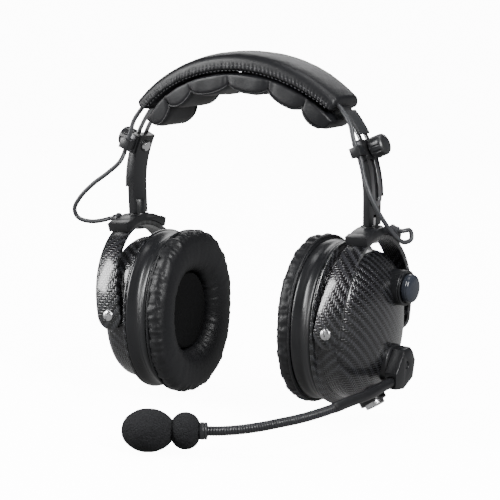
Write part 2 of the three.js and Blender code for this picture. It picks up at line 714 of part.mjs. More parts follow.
function shell() {
  const depth = SHELL_OUTER_X - SHELL_INNER_X;
  const outer = SHELL_STEPS.map(([share, inset]) => [SHELL_INNER_X + share * depth, inset]);
  const inner = SHELL_STEPS.map(([share, inset]) => {
    return [SHELL_INNER_X - 1 + share * (depth - SHELL_WALL + 1), Math.max(inset, SHELL_WAIST) + SHELL_WALL];
  });
  const centre = CUP_HALF_WIDTH;
  const body = cupOval([[SHELL_INNER_X, centre], ...outer, [SHELL_OUTER_X, centre]]);
  const hollow = cupOval([
    [SHELL_INNER_X - 1, centre],
    ...inner,
    [SHELL_OUTER_X - SHELL_WALL, centre],
  ]);
  const waist = CUP_HALF_WIDTH - SHELL_WAIST;
  const bosses = [-1, 1].map((side) => {
    const [from, to] = [side * (waist - 12), side * (waist - 1.6)];
    return rod(at(PIVOT_X, from, PIVOT_Z), at(PIVOT_X, to, PIVOT_Z), PIVOT_BOSS_RADIUS);
  });
  const screwHoles = [-1, 1].map((side) => {
    const [from, to] = [side * (waist - 10.5), side * (waist + 3)];
    return rod(at(PIVOT_X, from, PIVOT_Z), at(PIVOT_X, to, PIVOT_Z), PIVOT_SCREW_RADIUS + GAP);
  });
  return cutBy(joined(body.subtract(hollow), ...bosses), ...screwHoles);
}

function cupBody() {
  const centre = CUP_HALF_WIDTH;
  const [inner, outer] = [BODY_INNER_X, SHELL_INNER_X - GAP];
  const body = cupOval([
    [inner, centre],
    [inner, 3],
    [inner + 1.2, 1.4],
    [inner + 3.4, 1.4],
    [inner + 4.2, 3.6],
    [inner + 9, 3.2],
    [outer - 1.5, 0.6],
    [outer, 0.4],
    [outer, centre],
  ]);
  const hollow = cupOval([
    [inner + BAFFLE_THICKNESS + GAP, centre],
    [inner + BAFFLE_THICKNESS + GAP, 3 + BODY_WALL],
    [outer + 1, 3 + BODY_WALL],
    [outer + 1, centre],
  ]);
  const mouth = cupOval([
    [inner - 1, centre],
    [inner - 1, BODY_MOUTH_INSET],
    [outer + 1, BODY_MOUTH_INSET],
    [outer + 1, centre],
  ]);
  return cutBy(body, hollow, mouth);
}

// The plate that carries the speaker, inside the cup body behind its inner lip.
function baffle() {
  const centre = CUP_HALF_WIDTH;
  const x = BODY_INNER_X + BAFFLE_THICKNESS + 2 * GAP;
  const inset = 3 + BODY_WALL + GAP;
  const plate = cupOval([
    [x, centre],
    [x, inset],
    [x + BAFFLE_THICKNESS, inset],
    [x + BAFFLE_THICKNESS, centre],
  ]);
  const holes = Array.from({ length: 6 }, (_, i) => {
    const angle = (Math.PI * i) / 3;
    const [y, z] = [9 * Math.cos(angle), CUP_CENTRE_Z + 9 * Math.sin(angle)];
    return rod(at(x - 1, y, z), at(x + BAFFLE_THICKNESS + 1, y, z), 2, 2, 8);
  });
  return cutBy(plate, ...holes);
}

function speaker() {
  const x = BODY_INNER_X + 2 * BAFFLE_THICKNESS + 3 * GAP;
  const rim = rod(at(x, 0, CUP_CENTRE_Z), at(x + 3, 0, CUP_CENTRE_Z), SPEAKER_RADIUS, SPEAKER_RADIUS, 28);
  const magnet = rod(at(x + 2, 0, CUP_CENTRE_Z), at(x + SPEAKER_DEPTH, 0, CUP_CENTRE_Z), 11, 11, 24);
  return rim.add(magnet);
}

function earSeal() {
  const [back, face] = [BODY_INNER_X - GAP, SEAL_FACE_X];
  const depth = back - face;
  const unit = 1 / SEAL_HALF_WIDTH;
  const section = [
    [back, 1.5],
    [back - 0.45 * depth, 0],
    [face + 3.2, 1.5],
    [face + 0.9, 4.5],
    [face, SEAL_FLAT[0]],
    [face, SEAL_FLAT[1]],
    [face + 3, 19.5],
    [face + 6, SEAL_OPENING],
    [back, SEAL_OPENING - 2],
  ].map(([x, inset]) => [x, 1 - inset * unit]);
  return oval([...section, section[0]], 24, SEAL_HALF_WIDTH, SEAL_HALF_HEIGHT);
}

function earFoam() {
  const back = BODY_INNER_X - GAP;
  const unit = 1 / SEAL_HALF_WIDTH;
  const edge = 1 - (SEAL_OPENING + 1) * unit;
  const front = back - FOAM_THICKNESS;
  const profile = [[front, 0], [front, edge], [back, edge], [back, 0]];
  return oval(profile, 24, SEAL_HALF_WIDTH, SEAL_HALF_HEIGHT);
}

function pivotScrew(side) {
  const outside = YOKE_HALF_SPAN + YOKE_THICKNESS + GAP;
  const shank = rod(
    at(PIVOT_X, side * (CUP_HALF_WIDTH - SHELL_WAIST - 9), PIVOT_Z),
    at(PIVOT_X, side * (outside + 0.5), PIVOT_Z),
    PIVOT_SCREW_RADIUS,
    PIVOT_SCREW_RADIUS,
    16,
  );
  const head = rod(
    at(PIVOT_X, side * outside, PIVOT_Z),
    at(PIVOT_X, side * (outside + 2.2), PIVOT_Z),
    PIVOT_HEAD_RADIUS,
    PIVOT_HEAD_RADIUS - 1,
    20,
  );
  return shank.add(head);
}

// ---------------------------------------------------------------- volume control
const VOLUME_BASE_LENGTH = 15;
const VOLUME_BASE_START_X = VOLUME_BASE_TOP_X - VOLUME_BASE_LENGTH;
const BEYOND_X = 130; // clear of everything on the cup's outer side
const onVolume = (x) => at(x, VOLUME_Y, VOLUME_Z);

function volumeHole() {
  return rod(onVolume(SHELL_INNER_X + 8), onVolume(BEYOND_X), VOLUME_BASE_RADIUS + GAP, undefined, 20);
}

function volumeBase() {
  const [start, end] = [VOLUME_BASE_START_X, VOLUME_BASE_TOP_X];
  const body = rod(onVolume(start), onVolume(end), VOLUME_BASE_RADIUS, undefined, 20);
  const bore = rod(onVolume(start - 1), onVolume(end + 1), VOLUME_SHAFT_RADIUS + GAP, undefined, 12);
  return body.subtract(bore);
}

function volumeKnob() {
  const foot = VOLUME_BASE_TOP_X + GAP;
  const rise = VOLUME_CAP_HEIGHT;
  const radius = VOLUME_CAP_RADIUS;
  const profile = [
    [0, foot - VOLUME_SHAFT_LENGTH],
    [VOLUME_SHAFT_RADIUS, foot - VOLUME_SHAFT_LENGTH],
    [VOLUME_SHAFT_RADIUS, foot],
    [radius, foot],
    [radius, foot + 0.5 * rise],
    [0.87 * radius, foot + 0.78 * rise],
    [0.55 * radius, foot + 0.95 * rise],
    [0, foot + rise],
  ].map(([r, x]) => new THREE.Vector2(r, x));
  const geometry = new THREE.LatheGeometry(profile, 22);
  geometry.rotateZ(-Math.PI / 2);
  geometry.translate(0, VOLUME_Y, VOLUME_Z);
  return solid(geometry);
}

function volumePot() {
  const end = VOLUME_BASE_START_X - GAP;
  return rod(onVolume(end - VOLUME_POT_LENGTH), onVolume(end), VOLUME_POT_RADIUS);
}

// ---------------------------------------------------------------- boom and microphone
const onBoom = (x) => at(x, BOOM_Y, BOOM_Z);
const BRACKET_X = BOOM_DISC_TOP_X + GAP;
const SLEEVE_X = BRACKET_X + BRACKET_THICKNESS / 2;

function boomHole() {
  return rod(onBoom(SHELL_INNER_X + 8), onBoom(BEYOND_X), BOOM_DISC_RADIUS + GAP, undefined, 20);
}

function boomDisc() {
  const start = BOOM_DISC_TOP_X - BOOM_DISC_LENGTH;
  const body = rod(onBoom(start), onBoom(BOOM_DISC_TOP_X), BOOM_DISC_RADIUS, undefined, 20);
  return body.subtract(rod(onBoom(start + 2), onBoom(BOOM_DISC_TOP_X + 1), BOOM_SCREW_RADIUS + GAP));
}

// The bracket's outline seen from the side, with the boom leaving its lower front corner.
function boomBracket() {
  const shape = outline([
    new THREE.Vector2(BOOM_Y - 14, BOOM_Z - 4),
    new THREE.Vector2(BOOM_Y - 14, BOOM_Z - 14),
    new THREE.Vector2(BOOM_Y - 3, BOOM_Z - 15),
    new THREE.Vector2(BOOM_Y + 9, BOOM_Z - 9),
    new THREE.Vector2(BOOM_Y + 11, BOOM_Z + 2),
    new THREE.Vector2(BOOM_Y + 5, BOOM_Z + 11),
    new THREE.Vector2(BOOM_Y - 4, BOOM_Z + 10),
  ]);
  const slab = solid(plateYZ(shape, BRACKET_X, BRACKET_X + BRACKET_THICKNESS));
  const slope = new THREE.BoxGeometry(30, 60, 60);
  slope.rotateY(degToRad(-24));
  slope.translate(BRACKET_X + BRACKET_THICKNESS + 16.5, BOOM_Y, BOOM_Z + 8);
  const screw = rod(onBoom(BRACKET_X - 1), onBoom(BRACKET_X + 30), BOOM_SCREW_RADIUS + GAP);
  const [start, next] = BOOM_PATH;
  const direction = next.clone().sub(start).normalize();
  const [inside, outside] = [-GAP, 12].map((length) => start.clone().addScaledVector(direction, length));
  const socket = rod(inside, outside, SLEEVE_RADIUS + GAP);
  return cutBy(slab, solid(slope), screw, socket);
}

function boomScrew() {
  return rod(onBoom(BOOM_DISC_TOP_X - 4.5), onBoom(BRACKET_X + 3), BOOM_SCREW_RADIUS, undefined, 16);
}

// The boom's centreline, from the bracket round the cheek to the mouth.
const BOOM_PATH = [
  at(SLEEVE_X, BOOM_Y - 9, BOOM_Z - 9.5),
  at(SLEEVE_X, BOOM_Y - 26, BOOM_Z - 11),
  at(SLEEVE_X - 0.3, -34, BOOM_Z - 13),
  at(105, -50, BOOM_Z - 15),
  at(100.5, -68, BOOM_Z - 18),
  at(93, -86, BOOM_Z - 21),
  at(85, -99.5, BOOM_Z - 23),
  at(76.5, -110.5, BOOM_Z - 25),
  at(67.5, -119.5, BOOM_Z - 26.5),
  at(58.5, -126, BOOM_Z - 27.5),
  at(53, -129, BOOM_Z - 27.8),
];
const BOOM_CURVE = new THREE.CatmullRomCurve3(BOOM_PATH, false, 'centripetal');
const BOOM_LENGTH = BOOM_CURVE.getLength();

// A stretch of the boom between two lengths along its curve.
function boomStretch(from, to, radius, steps) {
  const points = Array.from({ length: 9 }, (_, i) => {
    return BOOM_CURVE.getPointAt((from + ((to - from) * i) / 8) / BOOM_LENGTH);
  });
  return tube(points, radius, steps, 10);
}

const SLEEVE_END = 66;
const GOOSENECK_JOINTS = [100, 128];
const GOOSENECK_END = BOOM_LENGTH;

const boomSleeve = () => boomStretch(0, SLEEVE_END, SLEEVE_RADIUS, 16);

function gooseneck(index) {
  const starts = [SLEEVE_END + GAP, ...GOOSENECK_JOINTS.map((length) => length + GOOSENECK_GAP)];
  const ends = [GOOSENECK_JOINTS[0], GOOSENECK_JOINTS[1], GOOSENECK_END];
  return boomStretch(starts[index], ends[index], GOOSENECK_RADIUS, 10);
}

const MIC_START = BOOM_CURVE.getPointAt(1);
const MIC_DIRECTION = BOOM_CURVE.getTangentAt(1);
const onMic = (length) => MIC_START.clone().addScaledVector(MIC_DIRECTION, length);

function micCollar() {
  return rod(onMic(GAP), onMic(GAP + COLLAR_LENGTH), COLLAR_RADIUS, undefined, 20);
}

const CAPSULE_START = 2 * GAP + COLLAR_LENGTH;

function micCapsule() {
  const [start, end] = [onMic(CAPSULE_START), onMic(CAPSULE_START + CAPSULE_LENGTH)];
  return rod(start, end, CAPSULE_RADIUS, CAPSULE_RADIUS - 1, 20);
}

// The foam muff: a small rear lobe and a large front lobe round the capsule.
function micMuff() {
  const start = CAPSULE_START + GAP;
  const neck = start + MUFF_REAR_LENGTH;
  const end = neck + MUFF_LENGTH;
  const inner = CAPSULE_RADIUS + GAP;
  const rear = [0.55, 0.86, 1, 0.96, 0.8].map((share, i) => {
    return [share * MUFF_REAR_RADIUS, start + (i / 4) * MUFF_REAR_LENGTH];
  });
  const front = [0.9, 0.99, 1, 0.97, 0.85, 0.5].map((share, i) => {
    return [share * MUFF_RADIUS, neck + 2 + (i / 5.4) * MUFF_LENGTH];
  });
  const hollowEnd = CAPSULE_START + CAPSULE_LENGTH + GAP;
  const profile = [
    [inner, start],
    ...rear,
    ...front,
    [0, end],
    [0, hollowEnd],
    [inner - 0.6, hollowEnd],
    [inner, start],
  ].map(([r, l]) => new THREE.Vector2(r, l));
  const geometry = new THREE.LatheGeometry(profile, 18);
  geometry.applyQuaternion(new THREE.Quaternion().setFromUnitVectors(at(0, 1, 0), MIC_DIRECTION));
  geometry.translate(MIC_START.x, MIC_START.y, MIC_START.z);
  return solid(geometry);
}

// ---------------------------------------------------------------- cable socket
const SOCKET_AXIS = at(Math.sin(degToRad(SOCKET_TILT)), 0, -Math.cos(degToRad(SOCKET_TILT)));
const SOCKET_SEAT = at(SOCKET_X, SOCKET_Y, CUP_CENTRE_Z - CUP_HALF_HEIGHT + SOCKET_LIFT);
const onSocket = (length) => SOCKET_SEAT.clone().addScaledVector(SOCKET_AXIS, length);

function socketHole() {
  return rod(onSocket(-20), onSocket(20), SOCKET_FLANGE_RADIUS + GAP, undefined, 24);
}

function socketFlange() {
  const body = rod(onSocket(-3.5), onSocket(SOCKET_FLANGE_LENGTH), SOCKET_FLANGE_RADIUS, undefined, 24);
  return body.subtract(rod(onSocket(-7), onSocket(SOCKET_FLANGE_LENGTH + 1), SOCKET_RING_RADIUS + GAP));
}

function socketRing() {
  const [start, end] = [-4, SOCKET_FLANGE_LENGTH + 2.5];
  const body = rod(onSocket(start), onSocket(end), SOCKET_RING_RADIUS);
  return body.subtract(rod(onSocket(end - SOCKET_RING_LENGTH), onSocket(end + 1), SOCKET_BORE_RADIUS));
}

// ---------------------------------------------------------------- assembly
const headset = new THREE.Group();
headset.name = 'aviation_headset';

// A group turned about a line through the pivot along Y. What it holds keeps the headset's own places.
function turnedGroup(parent, pivot, angle) {
  const turned = new THREE.Group();
  turned.position.copy(pivot);
  turned.rotation.y = degToRad(angle);
  const inside = new THREE.Group();
  inside.position.copy(pivot).negate();
  turned.add(inside);
  parent.add(turned);
  return inside;
}

function place(parent, name, geometry, material) {
  const mesh = new THREE.Mesh(geometry, material);
  mesh.name = name;
  parent.add(mesh);
}

// Every piece is drawn at +X, the wearer's left. The wearer's right has its mirror image.
function placeSide(parent, name, body, material) {
  const geometry = geometryOf(body);
  const { side } = parent.userData;
  place(parent, name, side > 0 ? geometry : mirrored(geometry), material);
}

function sideGroups({ side, extension, tilt }) {
  const shoulder = at(side * SHOULDER_CENTRE.x, 0, SHOULDER_CENTRE.y);
  const armGroup = turnedGroup(headset, shoulder, side * extension);
  const cupGroup = turnedGroup(armGroup, at(side * PIVOT_X, 0, PIVOT_Z), tilt);
  armGroup.userData.side = side;
  cupGroup.userData.side = side;
  return { armGroup, cupGroup };
}

function placeArm(group, name) {
  placeSide(group, `${name}_arm`, arm(), PLASTIC);
  placeSide(group, `${name}_clamp_plate`, clampPlate(), STEEL);
  placeSide(group, `${name}_clamp_screw`, clampScrew(), SCREW_STEEL);
  placeSide(group, `${name}_clamp_knob`, clampKnob(), KNOB_PLASTIC);
  placeSide(group, `${name}_lead_clip`, leadClip(), PLASTIC);
  placeSide(group, `${name}_swivel_pin`, swivelPin(), SCREW_STEEL);
  placeSide(group, `${name}_yoke`, yoke(), CARBON);
  placeSide(group, `${name}_saddle`, saddle(), PLASTIC);
  const glandY = GLAND_SIDE[name] * GLAND_Y;
  placeSide(group, `${name}_lead_gland`, leadGland(glandY), PLASTIC);
  placeSide(group, `${name}_lower_lead`, lowerLead(glandY, SLACK[name]), CORD);
}

function placeCup(group, name, shellBody) {
  placeSide(group, `${name}_shell`, shellBody, CARBON);
  placeSide(group, `${name}_pivot_screw_front`, pivotScrew(-1), SCREW_STEEL);
  placeSide(group, `${name}_pivot_screw_rear`, pivotScrew(1), SCREW_STEEL);
  placeSide(group, `${name}_cup_body`, cupBody(), PLASTIC);
  placeSide(group, `${name}_baffle`, baffle(), FIBRE);
  placeSide(group, `${name}_speaker`, speaker(), PLASTIC);
  placeSide(group, `${name}_ear_seal`, earSeal(), LEATHER);
  placeSide(group, `${name}_ear_foam`, earFoam(), FOAM);
}

function placeControls(group) {
  placeSide(group, 'volume_base', volumeBase(), PLASTIC);
  placeSide(group, 'volume_knob', volumeKnob(), GLOSS_CAP);
  placeSide(group, 'volume_pot', volumePot(), PLASTIC);
  placeSide(group, 'socket_flange', socketFlange(), PLASTIC);
  placeSide(group, 'socket_ring', socketRing(), SCREW_STEEL);
}

function placeBoom(group) {
  placeSide(group, 'boom_disc', boomDisc(), PLASTIC);
  placeSide(group, 'boom_bracket', boomBracket(), PLASTIC);
  placeSide(group, 'boom_screw', boomScrew(), SCREW_STEEL);
  placeSide(group, 'boom_sleeve', boomSleeve(), PLASTIC);
  for (const index of [0, 1, 2]) {
    placeSide(group, `gooseneck_${index + 1}`, gooseneck(index), PLASTIC);
  }
  placeSide(group, 'mic_collar', micCollar(), KNOB_PLASTIC);
  placeSide(group, 'mic_capsule', micCapsule(), PLASTIC);
  placeSide(group, 'mic_muff', micMuff(), FOAM);
}

place(headset, 'headband_spring', geometryOf(headbandSpring()), STEEL);
place(headset, 'head_pad_cover', geometryOf(padCover()), LEATHER);
place(headset, 'head_cushion', geometryOf(headCushion()), LEATHER);
place(headset, 'crossover_lead', geometryOf(crossoverLead()), CORD);
place(headset, 'lead_guard', geometryOf(leadGuard()), PLASTIC);

for (const [name, rest] of Object.entries(REST)) {
  const { armGroup, cupGroup } = sideGroups(rest);
  const lead = geometryOf(upperLead(rest));
  place(headset, `${name}_upper_lead`, rest.side > 0 ? lead : mirrored(lead), CORD);
  placeArm(armGroup, name);
  const plain = shell();
  placeCup(cupGroup, name, rest.side > 0 ? cutBy(plain, volumeHole(), boomHole(), socketHole()) : plain);
  if (rest.side > 0) {
    placeControls(cupGroup);
    placeBoom(cupGroup);
  }
}

export default headset;
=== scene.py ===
"""An aviation headset: padded band, sliding arms, forked yokes, oval ear cups and a boom microphone.

Pieces are drawn in millimetres. The wearer faces -Y and the wearer's left is +X.
What comes in pairs is drawn once, at +X, and is then placed on each side.
"""

import json
import math

import bmesh
import bpy
from mathutils import Matrix, Vector, noise

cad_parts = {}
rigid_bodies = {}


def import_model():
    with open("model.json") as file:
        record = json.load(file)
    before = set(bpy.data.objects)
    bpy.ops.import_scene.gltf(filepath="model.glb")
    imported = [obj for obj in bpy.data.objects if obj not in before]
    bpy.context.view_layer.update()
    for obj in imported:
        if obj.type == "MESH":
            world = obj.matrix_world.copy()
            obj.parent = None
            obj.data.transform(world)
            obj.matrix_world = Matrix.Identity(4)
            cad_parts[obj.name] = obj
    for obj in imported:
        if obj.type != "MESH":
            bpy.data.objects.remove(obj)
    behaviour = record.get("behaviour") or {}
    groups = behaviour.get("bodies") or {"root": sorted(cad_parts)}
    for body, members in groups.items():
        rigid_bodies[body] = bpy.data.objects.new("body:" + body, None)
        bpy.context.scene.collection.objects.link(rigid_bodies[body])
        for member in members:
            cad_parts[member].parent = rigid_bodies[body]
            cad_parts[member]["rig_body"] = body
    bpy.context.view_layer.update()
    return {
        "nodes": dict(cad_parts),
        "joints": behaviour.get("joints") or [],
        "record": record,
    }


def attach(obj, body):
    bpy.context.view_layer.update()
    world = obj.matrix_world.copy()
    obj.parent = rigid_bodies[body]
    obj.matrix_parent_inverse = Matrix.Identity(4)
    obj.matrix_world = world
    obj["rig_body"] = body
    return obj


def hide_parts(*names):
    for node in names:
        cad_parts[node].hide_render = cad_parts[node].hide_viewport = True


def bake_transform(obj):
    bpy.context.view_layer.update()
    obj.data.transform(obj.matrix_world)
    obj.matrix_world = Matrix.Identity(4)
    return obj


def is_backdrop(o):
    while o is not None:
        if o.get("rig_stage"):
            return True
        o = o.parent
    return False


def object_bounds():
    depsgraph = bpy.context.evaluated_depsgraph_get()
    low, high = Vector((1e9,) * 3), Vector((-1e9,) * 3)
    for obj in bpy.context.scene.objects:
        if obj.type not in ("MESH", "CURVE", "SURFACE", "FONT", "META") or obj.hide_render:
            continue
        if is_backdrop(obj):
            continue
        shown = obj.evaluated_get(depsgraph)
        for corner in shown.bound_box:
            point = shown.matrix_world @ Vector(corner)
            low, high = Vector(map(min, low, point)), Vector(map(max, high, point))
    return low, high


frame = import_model()
scene = bpy.context.scene
nodes = frame["nodes"]
joints = {joint["name"]: joint for joint in frame["joints"]}
mounts = {mount["name"]: mount for mount in frame["record"]["mounts"]}

MM = 0.001
GAP = 0.3

# band
SPRING_TOP = 19.2
CROWN_RADIUS = 113.0
SHOULDER_RADIUS = 80.0
SHOULDER_ANGLE = 23.6
SPRING_HALF = 0.6
STRIP_HALF_WIDTH = 6.5
SLOT_HALF_WIDTH = 2.4
SLOT_START = 53.0
STRIP_END = 86.5
COVER_TOP = 26.0
COVER_RADIUS = 110.0
COVER_END = 44.5
PAD_SHIFT = -5.0
COVER_HALF_WIDTH = 21.0
COVER_END_HALF_WIDTH = 16.5
COVER_BELOW = 5.5
CUSHION_END = 51.0
CUSHION_HALF_WIDTH = 20.0
CUSHION_END_HALF_WIDTH = 15.5
CUSHION_DEPTH = 13.4
LOBES = 6
LOBE_GROOVE = 7.0

# clamp and leads
CLAMP_ANGLE = 67.5
KNOB_FOOT = 3.0
LEAD_RADIUS = 1.5
LEAD_OUT_Y = -11.0
LEAD_LIFT = 2.5
LEAD_EXIT = {"left": 42.0, "right": 52.0}
CLIP_Y = -14.0
GLAND_X = 99.5
GLAND_Y = {"left": 9.0, "right": -9.0}
GLAND_Z = -83.7
GLAND_LENGTH = 5.0

# cups
PIVOT_X = 84.5
PIVOT_Z = -144.0
CUP_Z = -143.7
CUP_HALF_WIDTH = 46.5
CUP_HALF_HEIGHT = 53.0
CUP_FULLNESS = 2.2
SEAL_HALF_WIDTH = 45.0
WELT_RADIUS = 0.85
SEAL_HALF_HEIGHT = 54.0
YOKE_HALF_SPAN = 44.0
YOKE_RISE = 55.0
YOKE_THICKNESS = 3.0
YOKE_TOP_X = 91.5

# controls and boom
VOLUME = Vector((107.0, 15.0, CUP_Z + 24.0))
BOOM_Y = 9.0
BOOM_Z = CUP_Z - 24.0
HINGE_SCREW_X = 104.6 - 4.5
SLEEVE_X = 108.8
SLEEVE_END = 66.0
NECK_JOINTS = (100.45, 128.45)
MUFF_START = 5.2
MUFF_LENGTH = 46.6
SIDES = {"left": 1.0, "right": -1.0}


# ---------------- camera
def look_at(azimuth, elevation, roll, distance, target, lens):
    """A camera at that direction from the target, azimuth 0 looking along +Y."""
    around, up = math.radians(azimuth), math.radians(elevation)
    away = Vector((math.sin(around) * math.cos(up), -math.cos(around) * math.cos(up), math.sin(up)))
    turn = away.to_track_quat("Z", "Y").to_matrix().to_4x4()
    data = bpy.data.cameras.new("camera")
    data.lens = lens
    data.sensor_width = 36.0
    camera = bpy.data.objects.new("camera", data)
    scene.collection.objects.link(camera)
    place = Matrix.Translation(Vector(target) + away * distance)
    camera.matrix_world = place @ turn @ Matrix.Rotation(math.radians(roll), 4, "Z")
    scene.camera = camera
    return camera


camera = look_at(31.54, 7.59, 2.44, 1.398, (0.0, 0.0, -0.08), 154.0)
camera.data.shift_y = -0.0701
camera.data.shift_x = 0.0008


# ---------------- where things go
def side_place(side, pivot, rest_pivot, turn):
    """From drawn millimetres at +X to the headset's metres on that side."""
    rotation = Matrix.Rotation(turn, 4, "Y")
    scale = Matrix.Diagonal((SIDES[side] * MM, MM, MM, 1.0))
    return Matrix.Translation(pivot) @ rotation @ Matrix.Translation(-rest_pivot) @ scale


def arm_place(side):
    axis = joints[f"{side}_yoke_swivel"]["axis"]
    shoulder = Vector(joints[f"{side}_arm_slide"]["pos_m"])
    return side_place(side, shoulder, shoulder, math.atan2(axis[0], axis[2]))


def cup_place(side):
    axis = Vector(mounts[f"{side}_ear_seal"]["axis"]) * SIDES[side]
    pivot = Vector(joints[f"{side}_cup_tilt"]["pos_m"])
    drawn = Vector((SIDES[side] * PIVOT_X, 0.0, PIVOT_Z)) * MM
    return side_place(side, pivot, drawn, math.atan2(axis.z, -axis.x))


ON_BAND = Matrix.Diagonal((MM, MM, MM, 1.0))
ARM = {side: arm_place(side) for side in SIDES}
CUP = {side: cup_place(side) for side in SIDES}

CROWN_CENTRE = Vector((0.0, SPRING_TOP - CROWN_RADIUS))
SHOULDER_SHIFT = CROWN_RADIUS - SHOULDER_RADIUS
SHOULDER_CENTRE = CROWN_CENTRE + SHOULDER_SHIFT * Vector(
    (math.sin(math.radians(SHOULDER_ANGLE)), math.cos(math.radians(SHOULDER_ANGLE)))
)


def band_point(angle, offset=0.0, y=0.0):
    """A point on the band's curve. Angles are from straight up, offsets outward."""
    size = abs(angle)
    crown = size <= SHOULDER_ANGLE
    centre = CROWN_CENTRE if crown else SHOULDER_CENTRE
    radius = (CROWN_RADIUS if crown else SHOULDER_RADIUS) + offset
    turn = math.radians(size)
    x = centre.x + radius * math.sin(turn)
    return Vector((math.copysign(x, angle), y, centre.y + radius * math.cos(turn)))


def band_normal(angle):
    turn = math.radians(angle)
    return Vector((math.sin(turn), 0.0, math.cos(turn)))


# ---------------- lines
def between(low, high, share):
    return low + (high - low) * share


def smoothstep(low, high, value):
    share = min(1.0, max(0.0, (value - low) / (high - low)))
    return share * share * (3.0 - 2.0 * share)


def spline(points, count):
    """Evenly spaced points on a smooth curve through the points."""
    points = [Vector(point) for point in points]
    ends = [points[0] * 2 - points[1], *points, points[-1] * 2 - points[-2]]
    fine = []
    for a, b, c, d in zip(ends, ends[1:], ends[2:], ends[3:]):
        steps = [max((q - p).length ** 0.5, 1e-4) for p, q in ((a, b), (b, c), (c, d))]
        start = (b - a) / steps[0] - (c - a) / (steps[0] + steps[1]) + (c - b) / steps[1]
        end = (c - b) / steps[1] - (d - b) / (steps[1] + steps[2]) + (d - c) / steps[2]
        start, end = start * steps[1], end * steps[1]
        for i in range(24):
            t = i / 24
            bend = (2 * b - 2 * c + start + end) * t**3
            fine.append(bend + (3 * c - 3 * b - 2 * start - end) * t**2 + start * t + b)
    fine.append(points[-1])
    return spaced(fine, count)


def spaced(line, count):
    """The same line at count evenly spaced points."""
    reach = [0.0]
    for a, b in zip(line, line[1:]):
        reach.append(reach[-1] + (b - a).length)
    result, i = [], 0
    for k in range(count):
        wanted = reach[-1] * k / (count - 1)
        while i < len(line) - 2 and reach[i + 1] < wanted:
            i += 1
        span = max(reach[i + 1] - reach[i], 1e-9)
        result.append(line[i].lerp(line[i + 1], min(1.0, (wanted - reach[i]) / span)))
    return result


def length_of(line):
    return sum((b - a).length for a, b in zip(line, line[1:]))


def along(line, share):
    """The point at a share of an evenly spaced line."""
    position = min(1.0, max(0.0, share)) * (len(line) - 1)
    i = min(int(position), len(line) - 2)
    return line[i].lerp(line[i + 1], position - i)


def frames_along(line):
    """A point and two unit vectors across the line at each of its points, without twist."""
    result, across = [], None
    for i, point in enumerate(line):
        ahead = (line[min(i + 1, len(line) - 1)] - line[max(i - 1, 0)]).normalized()
        if across is None:
            across = ahead.orthogonal().normalized()
        across = (across - ahead * across.dot(ahead)).normalized()
        result.append((point, across, ahead.cross(across)))
    return result


# ---------------- shapes
def skin(across, lengthways, place, bm=None, chart=None):
    """A grid bent into a surface: place(u, v) gives the point for u and v from 0 to 1."""
    bm = bm or bmesh.new()
    layer = bm.loops.layers.uv.verify()
    made = bmesh.ops.create_grid(bm, x_segments=across, y_segments=lengthways, size=0.5)
    fresh = set(made["verts"])
    for face in {face for vert in fresh for face in vert.link_faces}:
        for loop in face.loops:
            u, v = loop.vert.co.x + 0.5, loop.vert.co.y + 0.5
            loop[layer].uv = chart(u, v) if chart else (u, v)
    for vert in fresh:
        vert.co = place(vert.co.x + 0.5, vert.co.y + 0.5)
    bmesh.ops.remove_doubles(bm, verts=bm.verts, dist=1e-3)
    return bm


def closed(bm):
    """Fills the open ends."""
    bmesh.ops.holes_fill(bm, edges=[edge for edge in bm.edges if edge.is_boundary], sides=0)
    return bm


def pushed(bm, amount):
    """Moves each vertex along its normal by amount(u, v, place)."""
    layer = bm.loops.layers.uv.verify()
    bmesh.ops.recalc_face_normals(bm, faces=bm.faces)
    bm.normal_update()
    moves = []
    for vert in bm.verts:
        u, v = vert.link_loops[0][layer].uv
        moves.append((vert, vert.normal * amount(u, v, vert.co)))
    for vert, move in moves:
        vert.co += move
    return bm


def pipe(line, radius, sides=16, bm=None):
    """A round tube along a line. radius is a number, or a function of the share along it."""
    rings = frames_along(line)
    size = radius if callable(radius) else lambda share: radius

    def place(u, v):
        centre, a, b = rings[round(v * (len(rings) - 1))]
        turn = 2 * math.pi * u
        return centre + (a * math.cos(turn) + b * math.sin(turn)) * size(v)

    return closed(skin(sides, len(rings) - 1, place, bm, lambda u, v: (u, v * length_of(line))))


def turned(profile, start, direction, sides=48):
    """A profile of (length, radius) spun round a line from start along direction."""
    bm = bmesh.new()
    verts = [bm.verts.new((radius, 0.0, length)) for length, radius in profile]
    edges = [bm.edges.new(pair) for pair in zip(verts, verts[1:])]
    bmesh.ops.spin(
        bm,
        geom=verts + edges,
        axis=(0, 0, 1),
        cent=(0, 0, 0),
        angle=2 * math.pi,
        steps=sides,
        use_merge=True,
    )
    bmesh.ops.remove_doubles(bm, verts=bm.verts, dist=1e-3)
    turn = Vector(direction).normalized().to_track_quat("Z", "Y").to_matrix().to_4x4()
    place = Matrix.Translation(Vector(start)) @ turn
    bmesh.ops.transform(bm, matrix=place, verts=bm.verts)
    return bm


def rounded(profile, radius=0.5, steps=3):
    """The profile with its inner corners rounded."""
    result = [profile[0]]
    for before, corner, after in zip(profile, profile[1:], profile[2:]):
        here = Vector(corner)
        back, ahead = Vector(before) - here, Vector(after) - here
        reach = min(radius, 0.45 * back.length, 0.45 * ahead.length)
        start, end = here + back.normalized() * reach, here + ahead.normalized() * reach
        for i in range(steps + 1):
            t = i / steps
            result.append(tuple(start * (1 - t) ** 2 + here * 2 * t * (1 - t) + end * t * t))
    result.append(profile[-1])
    return result


